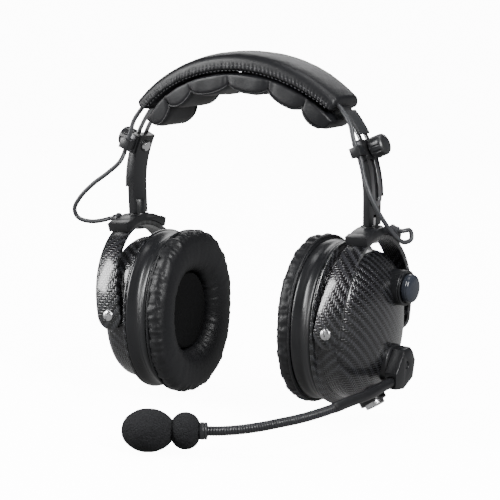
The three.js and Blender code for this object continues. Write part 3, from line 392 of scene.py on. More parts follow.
def oval_point(x, inset, angle, half_width=CUP_HALF_WIDTH, half_height=CUP_HALF_HEIGHT):
    """A point on a cup's oval outline, moved inward by inset, at x."""
    c, s = math.cos(angle), math.sin(angle)
    power = abs(c) ** CUP_FULLNESS + abs(s) ** CUP_FULLNESS
    share = max(0.0, 1.0 - inset / half_width) * power ** (-1.0 / CUP_FULLNESS)
    return Vector((x, c * share * half_width, CUP_Z + s * share * half_height))


def cup_ring(profile, around=144, size=(CUP_HALF_WIDTH, CUP_HALF_HEIGHT), chart=None):
    """A profile of (x, inset) carried round a cup's oval. Closed if it begins and ends alike."""

    def place(u, v):
        x, inset = profile[round(v * (len(profile) - 1))]
        return oval_point(x, inset, 2 * math.pi * u, *size)

    return skin(around, len(profile) - 1, place, None, chart)


def soft_line(profile, count):
    """A flat profile as a smooth line of count points."""
    return [(p.x, p.y) for p in spline([Vector((x, y, 0.0)) for x, y in profile], count)]


def piece(name, bm, place, body, finish, stands_for=(), sharp=35.0):
    """Turns a bmesh into an object of the headset that moves with a body."""
    bm.transform(place)
    bmesh.ops.recalc_face_normals(bm, faces=bm.faces)
    mesh = bpy.data.meshes.new(name)
    bm.to_mesh(mesh)
    bm.free()
    mesh.shade_smooth()
    mesh.set_sharp_from_angle(angle=math.radians(sharp))
    mesh.materials.append(finish.material)
    thing = bpy.data.objects.new(name, mesh)
    scene.collection.objects.link(thing)
    if body:
        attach(thing, body)
    if stands_for:
        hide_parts(*stands_for)
    return thing


def eased(node, width, finish, segments=2, sharpest=28.0):
    """A copy of a CAD node with its edges rounded."""
    source = nodes[node]
    bm = bmesh.new()
    bm.from_mesh(source.data)
    bm.transform(Matrix.Diagonal((1 / MM, 1 / MM, 1 / MM, 1.0)))
    bmesh.ops.remove_doubles(bm, verts=bm.verts, dist=1e-3)
    bmesh.ops.dissolve_limit(
        bm, angle_limit=math.radians(1.0), verts=bm.verts, edges=bm.edges, use_dissolve_boundaries=False
    )
    edges = [edge for edge in bm.edges if edge.calc_face_angle(0.0) > math.radians(sharpest)]
    bmesh.ops.bevel(
        bm,
        geom=edges,
        offset=width,
        offset_type="OFFSET",
        segments=segments,
        profile=0.5,
        affect="EDGES",
        clamp_overlap=True,
        material=-1,
    )
    return piece(f"{node}_eased", bm, ON_BAND, source["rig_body"], finish, (node,), 40.0)


# ---------------- finishes
def operator(operation, swapped=False):
    """A method that adds a Math node, its values swapped for a reflected form."""

    def method(self, other):
        return self.maths(operation, *((other, self) if swapped else (self, other)))

    return method


class Wire:
    """A socket whose arithmetic adds Math nodes."""

    def __init__(self, finish, socket):
        self.finish = finish
        self.socket = socket

    def maths(self, operation, *values):
        settings = {"operation": operation}
        return self.finish.node("ShaderNodeMath", settings, dict(enumerate(values)))

    __add__ = __radd__ = operator("ADD")
    __sub__ = operator("SUBTRACT")
    __rsub__ = operator("SUBTRACT", swapped=True)
    __mul__ = __rmul__ = operator("MULTIPLY")
    __pow__ = operator("POWER")
    __mod__ = operator("FLOORED_MODULO")
    below = operator("LESS_THAN")

    def floor(self):
        return self.maths("FLOOR", self)

    def sine(self):
        return self.maths("SINE", self)

    def size(self):
        return self.maths("ABSOLUTE", self)


class Finish:
    """One procedural finish, on a Principled shader."""

    def __init__(self, name, slot, color, roughness, **constants):
        self.slot = slot
        self.material = bpy.data.materials.new(name)
        self.material.use_nodes = True
        self.tree = self.material.node_tree
        self.shader = self.tree.nodes["Principled BSDF"]
        self.set("Base Color", (*color, 1.0))
        self.set("Roughness", roughness)
        for socket, value in constants.items():
            self.set(socket.replace("_", " "), value)

    def set(self, socket, value):
        target = self.shader.inputs[socket]
        if isinstance(value, Wire):
            self.tree.links.new(value.socket, target)
        else:
            target.default_value = value

    def node(self, kind, settings=None, inputs=None, output=0):
        """Adds a node: its settings first, then its sockets' values or links."""
        node = self.tree.nodes.new(kind)
        for key, value in (settings or {}).items():
            if key == "stops":
                self.set_stops(node.color_ramp, value)
            else:
                setattr(node, key, value)
        for key, value in (inputs or {}).items():
            target = node.inputs[key]
            if isinstance(value, Wire):
                self.tree.links.new(value.socket, target)
            else:
                target.default_value = value
        return Wire(self, node.outputs[output])

    def set_stops(self, ramp, stops):
        while len(ramp.elements) < len(stops):
            ramp.elements.new(0.5)
        for element, (position, value) in zip(ramp.elements, stops):
            element.position = position
            element.color = value if len(value) == 4 else (*value, 1.0)

    def place(self, stretch=(1.0, 1.0, 1.0), source="Object"):
        """The piece's own coordinates, stretched."""
        where = self.node("ShaderNodeTexCoord", output=source)
        return self.node("ShaderNodeMapping", None, {"Vector": where, "Scale": stretch})

    def noise(self, scale, detail=3.0, stretch=(1.0, 1.0, 1.0), source="Object", roughness=0.55):
        sockets = {"Vector": self.place(stretch, source), "Scale": scale}
        return self.node("ShaderNodeTexNoise", None, {**sockets, "Detail": detail, "Roughness": roughness})

    def cells(self, scale, feature="F1", stretch=(1.0, 1.0, 1.0), source="Object"):
        sockets = {"Vector": self.place(stretch, source), "Scale": scale}
        return self.node("ShaderNodeTexVoronoi", {"feature": feature}, sockets)

    def mixed(self, share, first, second):
        """A colour between two colours."""
        values = [v if isinstance(v, Wire) else (*v, 1.0) for v in (first, second)]
        sockets = {"Factor": share, 6: values[0], 7: values[1]}
        return self.node("ShaderNodeMix", {"data_type": "RGBA"}, sockets, output=2)

    def relief(self, height, distance, strength=1.0):
        """Bumps the surface by height, which is 0 to 1 of distance in metres."""
        sockets = {"Height": height, "Distance": distance, "Strength": strength}
        self.set("Normal", self.node("ShaderNodeBump", None, sockets))


def leather(name, slot, color, roughness, grain=0.00016):
    """Soft leather: fine pebbled grain, broad tone changes and a duller sheen in the hollows."""
    finish = Finish(name, slot, color, roughness, Specular_IOR_Level=0.36)
    pebbles = finish.cells(950.0, "DISTANCE_TO_EDGE")
    fine = finish.noise(2600.0, 2.0)
    broad = finish.noise(45.0, 3.0)
    rough = finish.noise(300.0, 2.0)
    tone = broad * 0.6 + rough * 0.4
    darker = tuple(0.72 * c for c in color)
    lighter = tuple(1.35 * c for c in color)
    finish.set("Base Color", finish.mixed(tone, darker, lighter))
    finish.set("Roughness", roughness - 0.07 + 0.2 * broad * rough + 0.06 * fine)
    finish.relief(pebbles * 0.7 + fine * 0.35 + broad * 0.4, grain, 0.8)
    return finish


def plastic(name, slot, color, roughness, texture=0.00006, scale=1500.0):
    """Moulded plastic: a fine spark-eroded texture, rubbed here and there."""
    finish = Finish(name, slot, color, roughness, Specular_IOR_Level=0.5)
    fine = finish.noise(scale, 3.0)
    rubbed = finish.noise(60.0, 4.0)
    lighter = tuple(1.5 * c + 0.004 for c in color)
    finish.set("Base Color", finish.mixed(rubbed * 0.7, color, lighter))
    finish.set("Roughness", roughness + 0.16 * (rubbed - 0.5) + 0.08 * (fine - 0.5))
    finish.relief(fine, texture, 0.6)
    return finish


def metal(name, slot, color, roughness, along_axis=(1.0, 1.0, 1.0), scale=800.0, source="Object"):
    """Plated or brushed metal, with scratches along one direction."""
    finish = Finish(name, slot, color, roughness, Metallic=1.0)
    lines = finish.noise(scale, 4.0, along_axis, source)
    smudge = finish.noise(90.0, 2.0)
    darker = tuple(0.75 * c for c in color)
    finish.set("Base Color", finish.mixed(lines * 0.6 + smudge * 0.4, darker, color))
    finish.set("Roughness", roughness + 0.22 * (lines - 0.5) + 0.12 * (smudge - 0.5))
    finish.relief(lines, 0.00002, 0.5)
    return finish


def carbon_twill(name, tow):
    """Clear-coated two-by-two twill with painted sheen and shade. The piece's chart is in millimetres, and
    tow is a strand's width.
    """
    finish = Finish(name, "carbon", (0.02, 0.02, 0.023), 0.3, Coat_Weight=0.8, Coat_Roughness=0.13)
    chart = finish.node("ShaderNodeTexCoord", output="UV")
    split = {"Vector": chart}
    u = finish.node("ShaderNodeSeparateXYZ", None, split, output="X") * (1.0 / tow)
    v = finish.node("ShaderNodeSeparateXYZ", None, split, output="Y") * (1.0 / tow)
    step = (u.floor() + v.floor()) % 4.0
    warp = step.below(1.5)
    over_u, over_v = u - u.floor(), v - v.floor()
    across = warp * over_u + (1.0 - warp) * over_v
    float_warp = (step + over_v) * 0.5
    float_weft = (((u.floor() + v.floor() + 2.0) % 4.0) + over_u) * 0.5
    run = warp * float_warp + (1.0 - warp) * float_weft
    round_across = (across * math.pi).sine()
    round_run = (run * math.pi).sine().size()
    height = round_across**0.6 * (0.35 + 0.65 * round_run**0.7)
    strands = finish.noise(0.9, 2.0, (6.0, 6.0, 1.0), "UV")
    # painted sheen and shade: the warp tows and each tow's crown are painted lighter as the fibres'
    # reflection, and the gaps between tows darker as shade; the strands noise is random tone
    tone = height * (0.12 + 0.88 * warp) * (0.75 + 0.5 * strands)
    finish.set("Base Color", finish.mixed(tone, (0.002, 0.002, 0.0023), (0.03, 0.031, 0.035)))
    finish.set("Roughness", 0.3 - 0.1 * height + 0.08 * (strands - 0.5))
    finish.relief(height, 0.0003, 0.6)
    return finish


def open_foam(name, slot, color):
    """Open-celled foam: pits of several sizes, painted darker inside as shade."""
    finish = Finish(name, slot, color, 0.95, Specular_IOR_Level=0.2)
    pits = finish.cells(1100.0)
    small = finish.cells(2300.0)
    clumps = finish.noise(160.0, 3.0)
    height = pits * 0.7 + small * 0.3
    # painted shade: the pits are painted darker and the cell rims lighter; the clumps noise adds random tone
    darker = tuple(0.35 * c for c in color)
    lighter = tuple(1.7 * c for c in color)
    finish.set("Base Color", finish.mixed(height * 0.8 + clumps * 0.3, darker, lighter))
    finish.set("Roughness", 0.85 + 0.2 * (clumps - 0.5))
    finish.relief(height + clumps, 0.0007, 0.9)
    return finish


def rubber_cord(name, slot, color):
    """A cord's sheath: smooth, with faint rings from the strands under it."""
    finish = Finish(name, slot, color, 0.42, Specular_IOR_Level=0.5)
    rings = finish.noise(2.2, 2.0, (2.0, 1.0, 1.0), "UV")
    dust = finish.noise(420.0, 3.0)
    lighter = tuple(1.4 * c for c in color)
    finish.set("Base Color", finish.mixed(dust * 0.6 + rings * 0.4, color, lighter))
    finish.set("Roughness", 0.36 + 0.2 * dust)
    finish.relief(rings + 0.3 * dust, 0.00008, 0.6)
    return finish


def woven_lining(name, slot, color):
    """The cloth behind the ear hole: a fine plain weave."""
    finish = Finish(name, slot, color, 0.85, Specular_IOR_Level=0.15)
    threads = [finish.noise(500.0, 2.0, (1.0, a, b)) for a, b in ((1.0, 9.0), (9.0, 1.0))]
    weave = (threads[0] + threads[1]) * 0.5
    lighter = tuple(2.0 * c for c in color)
    finish.set("Base Color", finish.mixed(weave, color, lighter))
    finish.set("Roughness", 0.7 + 0.3 * weave)
    finish.relief(weave, 0.0002, 0.8)
    return finish


PAD_LEATHER = leather("pad_leather", "leather", (0.0065, 0.0067, 0.008), 0.42)
SEAL_LEATHER = leather("seal_leather", "leather", (0.007, 0.0072, 0.0083), 0.46, 0.00012)
THREAD = plastic("sewing_thread", "leather", (0.06, 0.061, 0.066), 0.6)
SATIN_PLASTIC = plastic("satin_plastic", "plastic", (0.007, 0.0073, 0.0083), 0.34)
CUP_PLASTIC = plastic("cup_plastic", "plastic", (0.007, 0.0073, 0.0083), 0.3, 0.00004, 900.0)
KNOB_PLASTIC = plastic("knob_plastic", "knob_plastic", (0.016, 0.0165, 0.018), 0.34)
GRIT_PLASTIC = plastic("gritted_plastic", "plastic", (0.013, 0.0135, 0.015), 0.55, 0.0002, 900.0)
HOSE = plastic("boom_hose", "plastic", (0.012, 0.0125, 0.0145), 0.3)
CAP_GLOSS = plastic("cap_gloss", "gloss_cap", (0.02, 0.023, 0.031), 0.14, 0.00002, 500.0)
INNER_FIBRE = plastic("inner_fibre", "fibre", (0.01, 0.01, 0.01), 0.8)
SPRING_STEEL = metal("spring_steel", "steel", (0.36, 0.365, 0.375), 0.36, (14.0, 0.35, 1.0), 1.4, "UV")
CLAMP_STEEL = metal("clamp_steel", "steel", (0.1, 0.1, 0.105), 0.42)
SCREW_METAL = metal("screw_metal", "screw_steel", (0.86, 0.86, 0.87), 0.26)
CARBON = carbon_twill("carbon_twill", 1.6)
FOAM = open_foam("muff_foam", "foam", (0.011, 0.0113, 0.0125))
CORD = rubber_cord("lead_sheath", "cord", (0.03, 0.031, 0.034))
LINING = woven_lining("ear_lining", "foam", (0.0015, 0.0015, 0.0017))


# ---------------- leads
def lead(name, node, points, place, count):
    """A free stretch of lead between two bodies."""
    line = spline(points, count)
    path = [place @ point for point in line]
    bm = pipe(line, LEAD_RADIUS, 14)
    thing = piece(name, bm, place, None, CORD, (node,))
    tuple(path[0])
    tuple(path[-1])
    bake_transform(thing)
    if length_of(path) >= 0.03:
        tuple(path[0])
        length_of(path)
    return thing


def clip_centre(angle):
    return band_point(angle, 0.0, CLIP_Y)


def upper_lead(side, slid):
    """From the padded cover down to the clip, slid degrees along the band."""
    leaving = LEAD_EXIT[side]
    out = band_normal(leaving + 90)
    down = band_normal(CLAMP_ANGLE + slid + 90)
    start = band_point(leaving, LEAD_LIFT, LEAD_OUT_Y) + out * GAP
    clip = clip_centre(CLAMP_ANGLE + slid)
    points = [
        start,
        start + out * 4,
        band_point(between(leaving, CLAMP_ANGLE + slid, 0.45), LEAD_LIFT, LEAD_OUT_Y - 1.5),
        clip - down * 8,
        clip - down * 2,
        clip + down * 2,
    ]
    mirror = Matrix.Diagonal((SIDES[side] * MM, MM, MM, 1.0))
    lead(f"{side}_lead_above", f"{side}_upper_lead", points, mirror, 24)


SLACK = {
    "left": [
        (91.5, -14.5, -47),
        (97, -15, -60),
        (102.5, -11, -73),
        (106, -2, -84),
        (109, 7, -90.5),
        (111, 14, -89),
        (110, 14, -83.5),
    ],
    "right": [
        (91, -18, -45),
        (99, -21, -52),
        (109, -24, -59),
        (119, -26, -68),
        (124.5, -25.5, -76),
        (123.5, -23, -82),
        (117, -18, -85),
        (110, -12, -84.5),
    ],
}


def lower_lead(side):
    """From the clip, out in a loop, and into the gland on the saddle."""
    down = band_normal(CLAMP_ANGLE + 90)
    clip, y = clip_centre(CLAMP_ANGLE), GLAND_Y[side]
    points = [
        clip + down * (2 + GAP),
        clip + down * 7,
        *[Vector(point) for point in SLACK[side]],
        Vector((GLAND_X + GLAND_LENGTH + 3, y, GLAND_Z)),
        Vector((GLAND_X + 2, y, GLAND_Z)),
    ]
    lead(f"{side}_lead_loop", f"{side}_lower_lead", points, ARM[side], 60)


def arm_slide_at_rest(side):
    """How far the arm stands along the band, in degrees."""
    axis = joints[f"{side}_yoke_swivel"]["axis"]
    return SIDES[side] * math.degrees(math.atan2(axis[0], axis[2]))


for side in SIDES:
    upper_lead(side, arm_slide_at_rest(side))
    lower_lead(side)


# ---------------- band
def band_spring():
    """The strip with a slot in each end."""
    rows = (-STRIP_HALF_WIDTH, -SLOT_HALF_WIDTH, SLOT_HALF_WIDTH, STRIP_HALF_WIDTH)
    bm = skin(3, 90, lambda u, v: band_point(between(-SLOT_START, SLOT_START, v), 0.0, rows[round(u * 3)]))
    for side in SIDES.values():

        def prongs(u, v, side=side):
            radius = between(SLOT_HALF_WIDTH, STRIP_HALF_WIDTH, u)
            if v < 0.4:
                return band_point(side * between(SLOT_START, STRIP_END, v / 0.4), 0.0, radius)
            if v > 0.6:
                return band_point(side * between(SLOT_START, STRIP_END, (1 - v) / 0.4), 0.0, -radius)
            turn = math.pi * (v - 0.4) / 0.2
            beyond = math.degrees(radius * math.sin(turn) / SHOULDER_RADIUS)
            return band_point(side * (STRIP_END + beyond), 0.0, radius * math.cos(turn))

        skin(1, 80, prongs, bm)
    strip = piece("slotted_spring", bm, ON_BAND, "headband", SPRING_STEEL, ("headband_spring",))
    wall = strip.modifiers.new("wall", "SOLIDIFY")
    wall.thickness = 2 * SPRING_HALF * MM
    wall.offset = 0.0
    soften(strip, 0.25)


def soften(thing, width, segments=2, angle=40.0):
    bevel = thing.modifiers.new("edges", "BEVEL")
    bevel.width = width * MM
    bevel.segments = segments
    bevel.limit_method = "ANGLE"
    bevel.angle_limit = math.radians(angle)


def squared(turn, flat_y, flat_low, flat_high):
    """A rounded oblong: across from -1 to 1, and up from 0 to 1."""
    c, s = math.cos(turn), math.sin(turn)
    across = math.copysign(abs(c) ** flat_y, c)
    power = flat_high if s > 0 else flat_low
    return across, 0.5 + 0.5 * math.copysign(abs(s) ** power, s)


COVER_ROWS = (0.1, 0.37)
STITCH_PITCH = 2.8


def cover_point(across, up, t):
    """A point of the padded cover: t from -1 to 1 along it."""
    turn = math.radians(COVER_END * t + PAD_SHIFT)
    top = Vector((0.0, 0.0, COVER_TOP - COVER_RADIUS))
    out = Vector((math.sin(turn), 0.0, math.cos(turn)))
    outer = top + out * COVER_RADIUS
    angle = (COVER_END + 3) * t
    thin = 1 - 0.35 * min(1.0, abs(angle) / COVER_END) ** 4
    inner = band_point(angle + PAD_SHIFT, -COVER_BELOW * thin)
    point = inner.lerp(outer, up) + out * 1.2 * (1 - across * across) * up
    half = between(COVER_HALF_WIDTH, COVER_END_HALF_WIDTH, t * t)
    bulge = 0.5 * math.sin(math.pi * min(1.0, up / 0.8))
    return point + Vector((0.0, across * (half - 0.5 + bulge), 0.0))


def cover_shape(u):
    return squared(2 * math.pi * u, 0.36, 0.3, 0.6)


def padded_cover():
    ends = 0.965

    def place(u, v):
        t = 2 * v - 1
        across, up = cover_shape(u)
        over = max(0.0, (abs(t) - ends) / (1 - ends))
        shrink = math.sqrt(max(0.0, 1 - 0.86 * over * over))
        middle = 0.45
        return cover_point(across * (0.9 + 0.1 * shrink), middle + (up - middle) * shrink, t)

    def amount(u, v, place_at):
        across, up = cover_shape(u)
        if abs(across) < 0.85:
            broad = noise.noise(place_at * 0.05)
            return 0.35 * broad + 0.1 * noise.noise(place_at * 0.2)
        along_band = v * 168.0 / STITCH_PITCH
        scallop = 0.5 + 0.5 * math.cos(2 * math.pi * along_band)
        pull = 0.0
        for row in COVER_ROWS:
            pull -= (0.5 + 0.6 * scallop) * math.exp(-(((up - row) / 0.05) ** 2))
        fold = 0.3 * (1 - scallop) * smoothstep(0.02, 0.12, up) * (1 - smoothstep(0.3, 0.5, up))
        crumple = 0.3 * noise.noise(Vector((v * 46, up * 3, across)))
        return pull + fold + crumple * (1 - smoothstep(0.35, 0.6, up))

    bm = pushed(closed(skin(120, 420, place)), amount)
    cover = piece("padded_cover", bm, ON_BAND, "headband", PAD_LEATHER, ("head_pad_cover",), 80.0)


def stitch_row(bm, line, outward, size=(1.7, 0.55)):
    """Short stitches laid end to end along a line."""
    for point, ahead in zip(line, line[1:]):
        run = (ahead - point).normalized()
        side = run.cross(outward(point)).normalized()
        out = side.cross(run)
        turn = Matrix((run, side, out)).transposed().to_4x4()
        grow = Matrix.Diagonal((size[0] / 2, size[1] / 2, size[1] / 2, 1.0))
        place = Matrix.Translation(point.lerp(ahead, 0.5)) @ turn @ grow
        bmesh.ops.create_icosphere(bm, subdivisions=1, radius=1.0, matrix=place)
    return bm


def cover_stitches():
    bm = bmesh.new()
    for side in (-1, 1):
        for row in COVER_ROWS:
            fine = [cover_point(side, row, between(-0.95, 0.95, i / 300)) for i in range(301)]
            count = int(length_of(fine) / STITCH_PITCH)
            stitch_row(bm, spaced(fine, count), lambda point, side=side: Vector((0.0, side, 0.0)))
    piece("cover_stitches", bm, ON_BAND, "headband", THREAD)


def lobe_depth(angle):
    """How deep the head cushion is, and how full: 0 in a groove, 1 in the middle of a lobe."""
    pitch = 2 * CUSHION_END / LOBES
    full = abs(math.sin(math.pi * (angle + CUSHION_END) / pitch)) ** 0.5
    return between(LOBE_GROOVE, CUSHION_DEPTH, full), full


def cushion_point(across, up, angle):
    depth, full = lobe_depth(angle)
    t = angle / CUSHION_END
    half = between(CUSHION_HALF_WIDTH, CUSHION_END_HALF_WIDTH, t * t)
    half -= 1.6 * (1 - full) * (1 - 0.5 * up)
    offset = -COVER_BELOW - GAP - depth * (1 - up)
    return band_point(angle + PAD_SHIFT, offset, across * half)


def head_cushion():
    def shape(u):
        return squared(2 * math.pi * u, 0.3, 0.42, 0.25)

    def place(u, v):
        return cushion_point(*shape(u), between(-CUSHION_END, CUSHION_END, v))

    def amount(u, v, place_at):
        _, full = lobe_depth(between(-CUSHION_END, CUSHION_END, v))
        gather = noise.noise(Vector((place_at.x * 0.5, place_at.y * 0.12, place_at.z * 0.12)))
        soft = noise.noise(place_at * 0.09)
        return 0.55 * soft + 0.8 * gather * (1 - full) ** 1.5

    bm = pushed(closed(skin(96, 300, place)), amount)
    cushion = piece("lobed_cushion", bm, ON_BAND, "headband", PAD_LEATHER, ("head_cushion",), 80.0)
    welts = bmesh.new()
    for side in (-0.97, 0.97):
        line = [cushion_point(side, 0.1, between(-49.0, 49.0, i / 240)) for i in range(241)]
        pipe(line, 0.75, 10, welts)
    piece("cushion_welts", welts, ON_BAND, "headband", PAD_LEATHER)


band_spring()
padded_cover()
cover_stitches()
head_cushion()
eased("lead_guard", 0.4, GRIT_PLASTIC)


# ---------------- arms
def clamp_knob(side):
    """A ribbed knob with a dished top."""
    profile = [(0.0, 4.9), (1.8, 5.0), (2.0, 6.3), (2.6, 6.9), (3.2, 7.0)]
    profile += [(between(3.6, 9.4, i / 8), 7.0) for i in range(9)]
    profile += [(10.1, 6.9), (10.9, 6.3), (11.5, 5.4), (11.4, 4.6), (10.6, 4.2), (10.4, 2.0), (10.4, 0.0)]
    axis = band_normal(CLAMP_ANGLE)
    across = Vector((0.0, 1.0, 0.0))
    up = axis.cross(across)
    foot = band_point(CLAMP_ANGLE, KNOB_FOOT - 1.0)

    def place(u, v):
        length, radius = profile[round(v * (len(profile) - 1))]
        turn = 2 * math.pi * u
        grip = smoothstep(2.2, 3.4, length) * (1 - smoothstep(9.2, 10.6, length))
        flute = max(0.0, math.cos(12 * turn)) ** 0.7
        radius -= 0.75 * grip * flute
        return foot + axis * length + (across * math.cos(turn) + up * math.sin(turn)) * radius

    bm = closed(skin(144, len(profile) - 1, place))
    piece(f"{side}_ribbed_knob", bm, ARM[side], f"{side}_knob", KNOB_PLASTIC, (f"{side}_clamp_knob",))


def lead_gland(side):
    """A tapered strain relief with rings."""
    profile = [(0.0, 0.0), (0.0, 3.9), (1.2, 3.9), (1.4, 3.3)]
    for i in range(4):
        start = 1.7 + 0.85 * i
        radius = 3.2 - 0.2 * i
        profile += [(start, radius - 0.35), (start + 0.2, radius)]
        profile += [(start + 0.55, radius - 0.05), (start + 0.75, radius - 0.4)]
    profile += [(GLAND_LENGTH, 2.3), (GLAND_LENGTH, 0.0)]
    start = (GLAND_X, GLAND_Y[side], GLAND_Z)
    bm = turned(profile, start, (1, 0, 0), 28)
    piece(f"{side}_gland_rings", bm, ARM[side], f"{side}_yoke", CORD, (f"{side}_lead_gland",))


def yoke_edges(z):
    """The yoke's two edges, in X, at a height above the pivot."""
    top, half = CUP_Z + YOKE_RISE + 4.0, 6.0
    middle = CUP_Z + 30.0
    low, high = 0.0, 1.0
    for _ in range(30):
        t = (low + high) / 2
        height = (1 - t) ** 2 * top + 2 * t * (1 - t) * middle + t * t * PIVOT_Z
        low, high = (t, high) if height > z else (low, t)
    blend = ((1 - t) ** 2, 2 * t * (1 - t), t * t)
    inner = (YOKE_TOP_X - half, YOKE_TOP_X - half - 4, PIVOT_X - 9)
    outer = (YOKE_TOP_X + half, YOKE_TOP_X + half, PIVOT_X + 9)
    return [sum(b * x for b, x in zip(blend, xs)) for xs in (inner, outer)]


def forked_yoke(side):
    rows = []
    half_y, half_z = YOKE_HALF_SPAN + YOKE_THICKNESS / 2, YOKE_RISE + YOKE_THICKNESS / 2
    straight = math.degrees(math.acos((PIVOT_Z - CUP_Z) / half_z))
    for i in range(91):
        angle = straight * i / 90
        z = CUP_Z + half_z * math.cos(math.radians(angle))
        rows.append((angle, *yoke_edges(z)))
    for i in range(1, 13):
        turn = math.pi / 2 * i / 12
        z = PIVOT_Z - 9 * math.sin(turn)
        angle = math.degrees(math.acos((z - CUP_Z) / half_z))
        reach = max(0.02, 9 * math.cos(turn))
        rows.append((angle, PIVOT_X - reach, PIVOT_X + reach))
    rows = [(-a, low, high) for a, low, high in reversed(rows[1:])] + rows
    last = len(rows) - 1

    def place(u, v):
        angle, low, high = rows[round(v * last)]
        turn = math.radians(angle)
        crown = 0.7 * (1 - (2 * u - 1) ** 2) * min(1.0, (high - low) / 12)
        y = (half_y + crown) * math.sin(turn)
        return Vector((between(low, high, u), y, CUP_Z + (half_z + crown) * math.cos(turn)))

    def chart(u, v):
        angle, low, high = rows[round(v * last)]
        return between(low, high, u), math.radians(angle) * 50.0

    bm = skin(12, last, place, None, chart)
    yoke = piece(f"{side}_fork", bm, ARM[side], f"{side}_yoke", CARBON, (f"{side}_yoke",), 60.0)
    wall = yoke.modifiers.new("wall", "SOLIDIFY")
    wall.thickness = YOKE_THICKNESS * MM
    wall.offset = 0.0
    soften(yoke, 0.7, 3, 50.0)


for side in SIDES:
    eased(f"{side}_arm", 0.7, SATIN_PLASTIC, 3)
    eased(f"{side}_clamp_plate", 0.35, CLAMP_STEEL)
    eased(f"{side}_clamp_screw", 0.25, SCREW_METAL)
    eased(f"{side}_lead_clip", 0.7, SATIN_PLASTIC)
    eased(f"{side}_saddle", 0.6, SATIN_PLASTIC, 3)
    clamp_knob(side)
    lead_gland(side)
    forked_yoke(side)


# ---------------- cups
def carbon_shell(side):
    front = [(72.1, 2.0), (72.1, 0.6), (72.6, 0.0), (73.6, 0.0), (74.3, 0.9), (74.9, 3.0), (76.0, 4.2)]
    front += [(80.0, 4.4), (85.0, 4.7), (88.5, 5.3)]
    dome = [(88.52, 5.31), (91.5, 7.0), (94.5, 10.2), (97.2, 14.6), (99.6, 20.0)]
    dome += [(101.4, 26.0), (102.7, 32.0), (103.6, 38.5), (104.0, CUP_HALF_WIDTH)]
    wall = soft_line(front, 40)
    profile = [(72.1, CUP_HALF_WIDTH), *wall, *soft_line(dome, 44)]
    turn_ring = len(wall)
    last = len(profile) - 1
    outline = [oval_point(80, 4.4, 2 * math.pi * i / 144) for i in range(145)]
    reach = [0.0]
    for a, b in zip(outline, outline[1:]):
        reach.append(reach[-1] + (b - a).length)

    def chart(u, v):
        ring = round(v * last)
        x, inset = profile[ring]
        if ring <= turn_ring:
            return reach[round(u * 144)], x - 2.0 * inset
        point = oval_point(x, inset, 2 * math.pi * u)
        return point.y, point.z

    bm = cup_ring(profile, 144, chart=chart)
    piece(f"{side}_carbon_shell", bm, CUP[side], f"{side}_cup", CARBON, (f"{side}_shell",), 50.0)


def cup_rim(side):
    """The black plastic body between the shell and the seal."""
    outer = [(57.1, 8.0), (57.0, 3.4), (57.5, 1.9), (58.6, 1.3), (61.0, 1.6), (64.0, 2.6), (67.0, 2.1)]
    outer += [(69.6, 0.9), (70.8, 0.5), (71.7, 0.6)]
    profile = [*soft_line(outer, 48), (71.7, 12.0), (58.0, 12.0), (57.1, 8.0)]
    bm = cup_ring(profile)
    piece(f"{side}_cup_rim", bm, CUP[side], f"{side}_cup", CUP_PLASTIC, (f"{side}_cup_body",), 40.0)


SEAL_SECTION = [(56.7, 1.9), (55.6, 0.7), (53.0, 0.1), (49.6, 0.2), (47.0, 1.6), (45.2, 4.6), (44.5, 8.5)]
SEAL_SECTION += [(44.5, 13.0), (45.5, 17.0), (47.8, 20.4), (51.0, 22.4), (54.4, 22.9), (56.7, 22.4)]


def ear_seal(side, seed):
    """A soft leather ring, gathered on its side wall and smooth on its face."""
    profile = [*soft_line(SEAL_SECTION, 76), (56.7, 12.0), (56.7, 1.9)]
    size = (SEAL_HALF_WIDTH, SEAL_HALF_HEIGHT)

    def amount(u, v, place_at):
        turn = 2 * math.pi * u
        ring = Vector((48 * math.cos(turn), 54 * math.sin(turn), 0.0))
        depth = 60.0 * v
        wall = 1 - smoothstep(0.22, 0.36, v)
        inner = smoothstep(0.6, 0.72, v) * (1 - smoothstep(0.93, 0.96, v))
        held = smoothstep(0.0, 0.05, v) * (1 - smoothstep(0.93, 0.97, v))
        gathers = noise.noise(ring * 0.3 + Vector((0, 0, seed + depth * 0.05)))
        folds = noise.noise(ring * 0.13 + Vector((3, 5, seed + depth * 0.07)))
        crease = max(0.0, 1 - abs(gathers) * 6) ** 2
        radial = noise.noise(ring * 0.22 + Vector((9, 1, seed + depth * 0.03)))
        broad = noise.noise(place_at * 0.05 + Vector((seed, 0, 0)))
        side_push = 0.9 * gathers + 0.7 * folds - 0.8 * crease
        face_push = 0.12 * radial + 0.3 * broad
        pull_in = 0.4 * radial - 0.25 * crease
        return held * (wall * side_push + (1 - wall) * face_push + inner * pull_in)

    bm = pushed(cup_ring(profile, 300, size), amount)
    seal = piece(f"{side}_seal_ring", bm, CUP[side], f"{side}_cup", SEAL_LEATHER, (f"{side}_ear_seal",), 80.0)
    turns = [math.pi * i / 6 for i in range(13)]
    cord = [(55.9 + WELT_RADIUS * math.cos(t), 0.7 + WELT_RADIUS * math.sin(t)) for t in turns]
    cord[-1] = cord[0]
    welt = cup_ring(cord, 200, size)
    piece(f"{side}_seal_welt", welt, CUP[side], f"{side}_cup", SEAL_LEATHER)


def ear_lining(side):
    """Cloth over the foam at the bottom of the ear hole."""
    size = (SEAL_HALF_WIDTH, SEAL_HALF_HEIGHT)
    front = [(52.4, SEAL_HALF_WIDTH), (52.5, 38.0), (52.6, 32.0), (52.8, 27.0)]
    front += [(53.2, 24.6), (54.4, 23.7), (56.6, 23.7)]
    profile = [*soft_line(front, 40), (56.7, SEAL_HALF_WIDTH)]

    def amount(u, v, place_at):
        return 0.25 * noise.noise(Vector((place_at.y * 0.28, place_at.z * 0.03, 1.0)))

    bm = pushed(cup_ring(profile, 120, size), amount)
    lining = piece(f"{side}_ear_lining", bm, CUP[side], f"{side}_cup", LINING, (f"{side}_ear_foam",), 60.0)


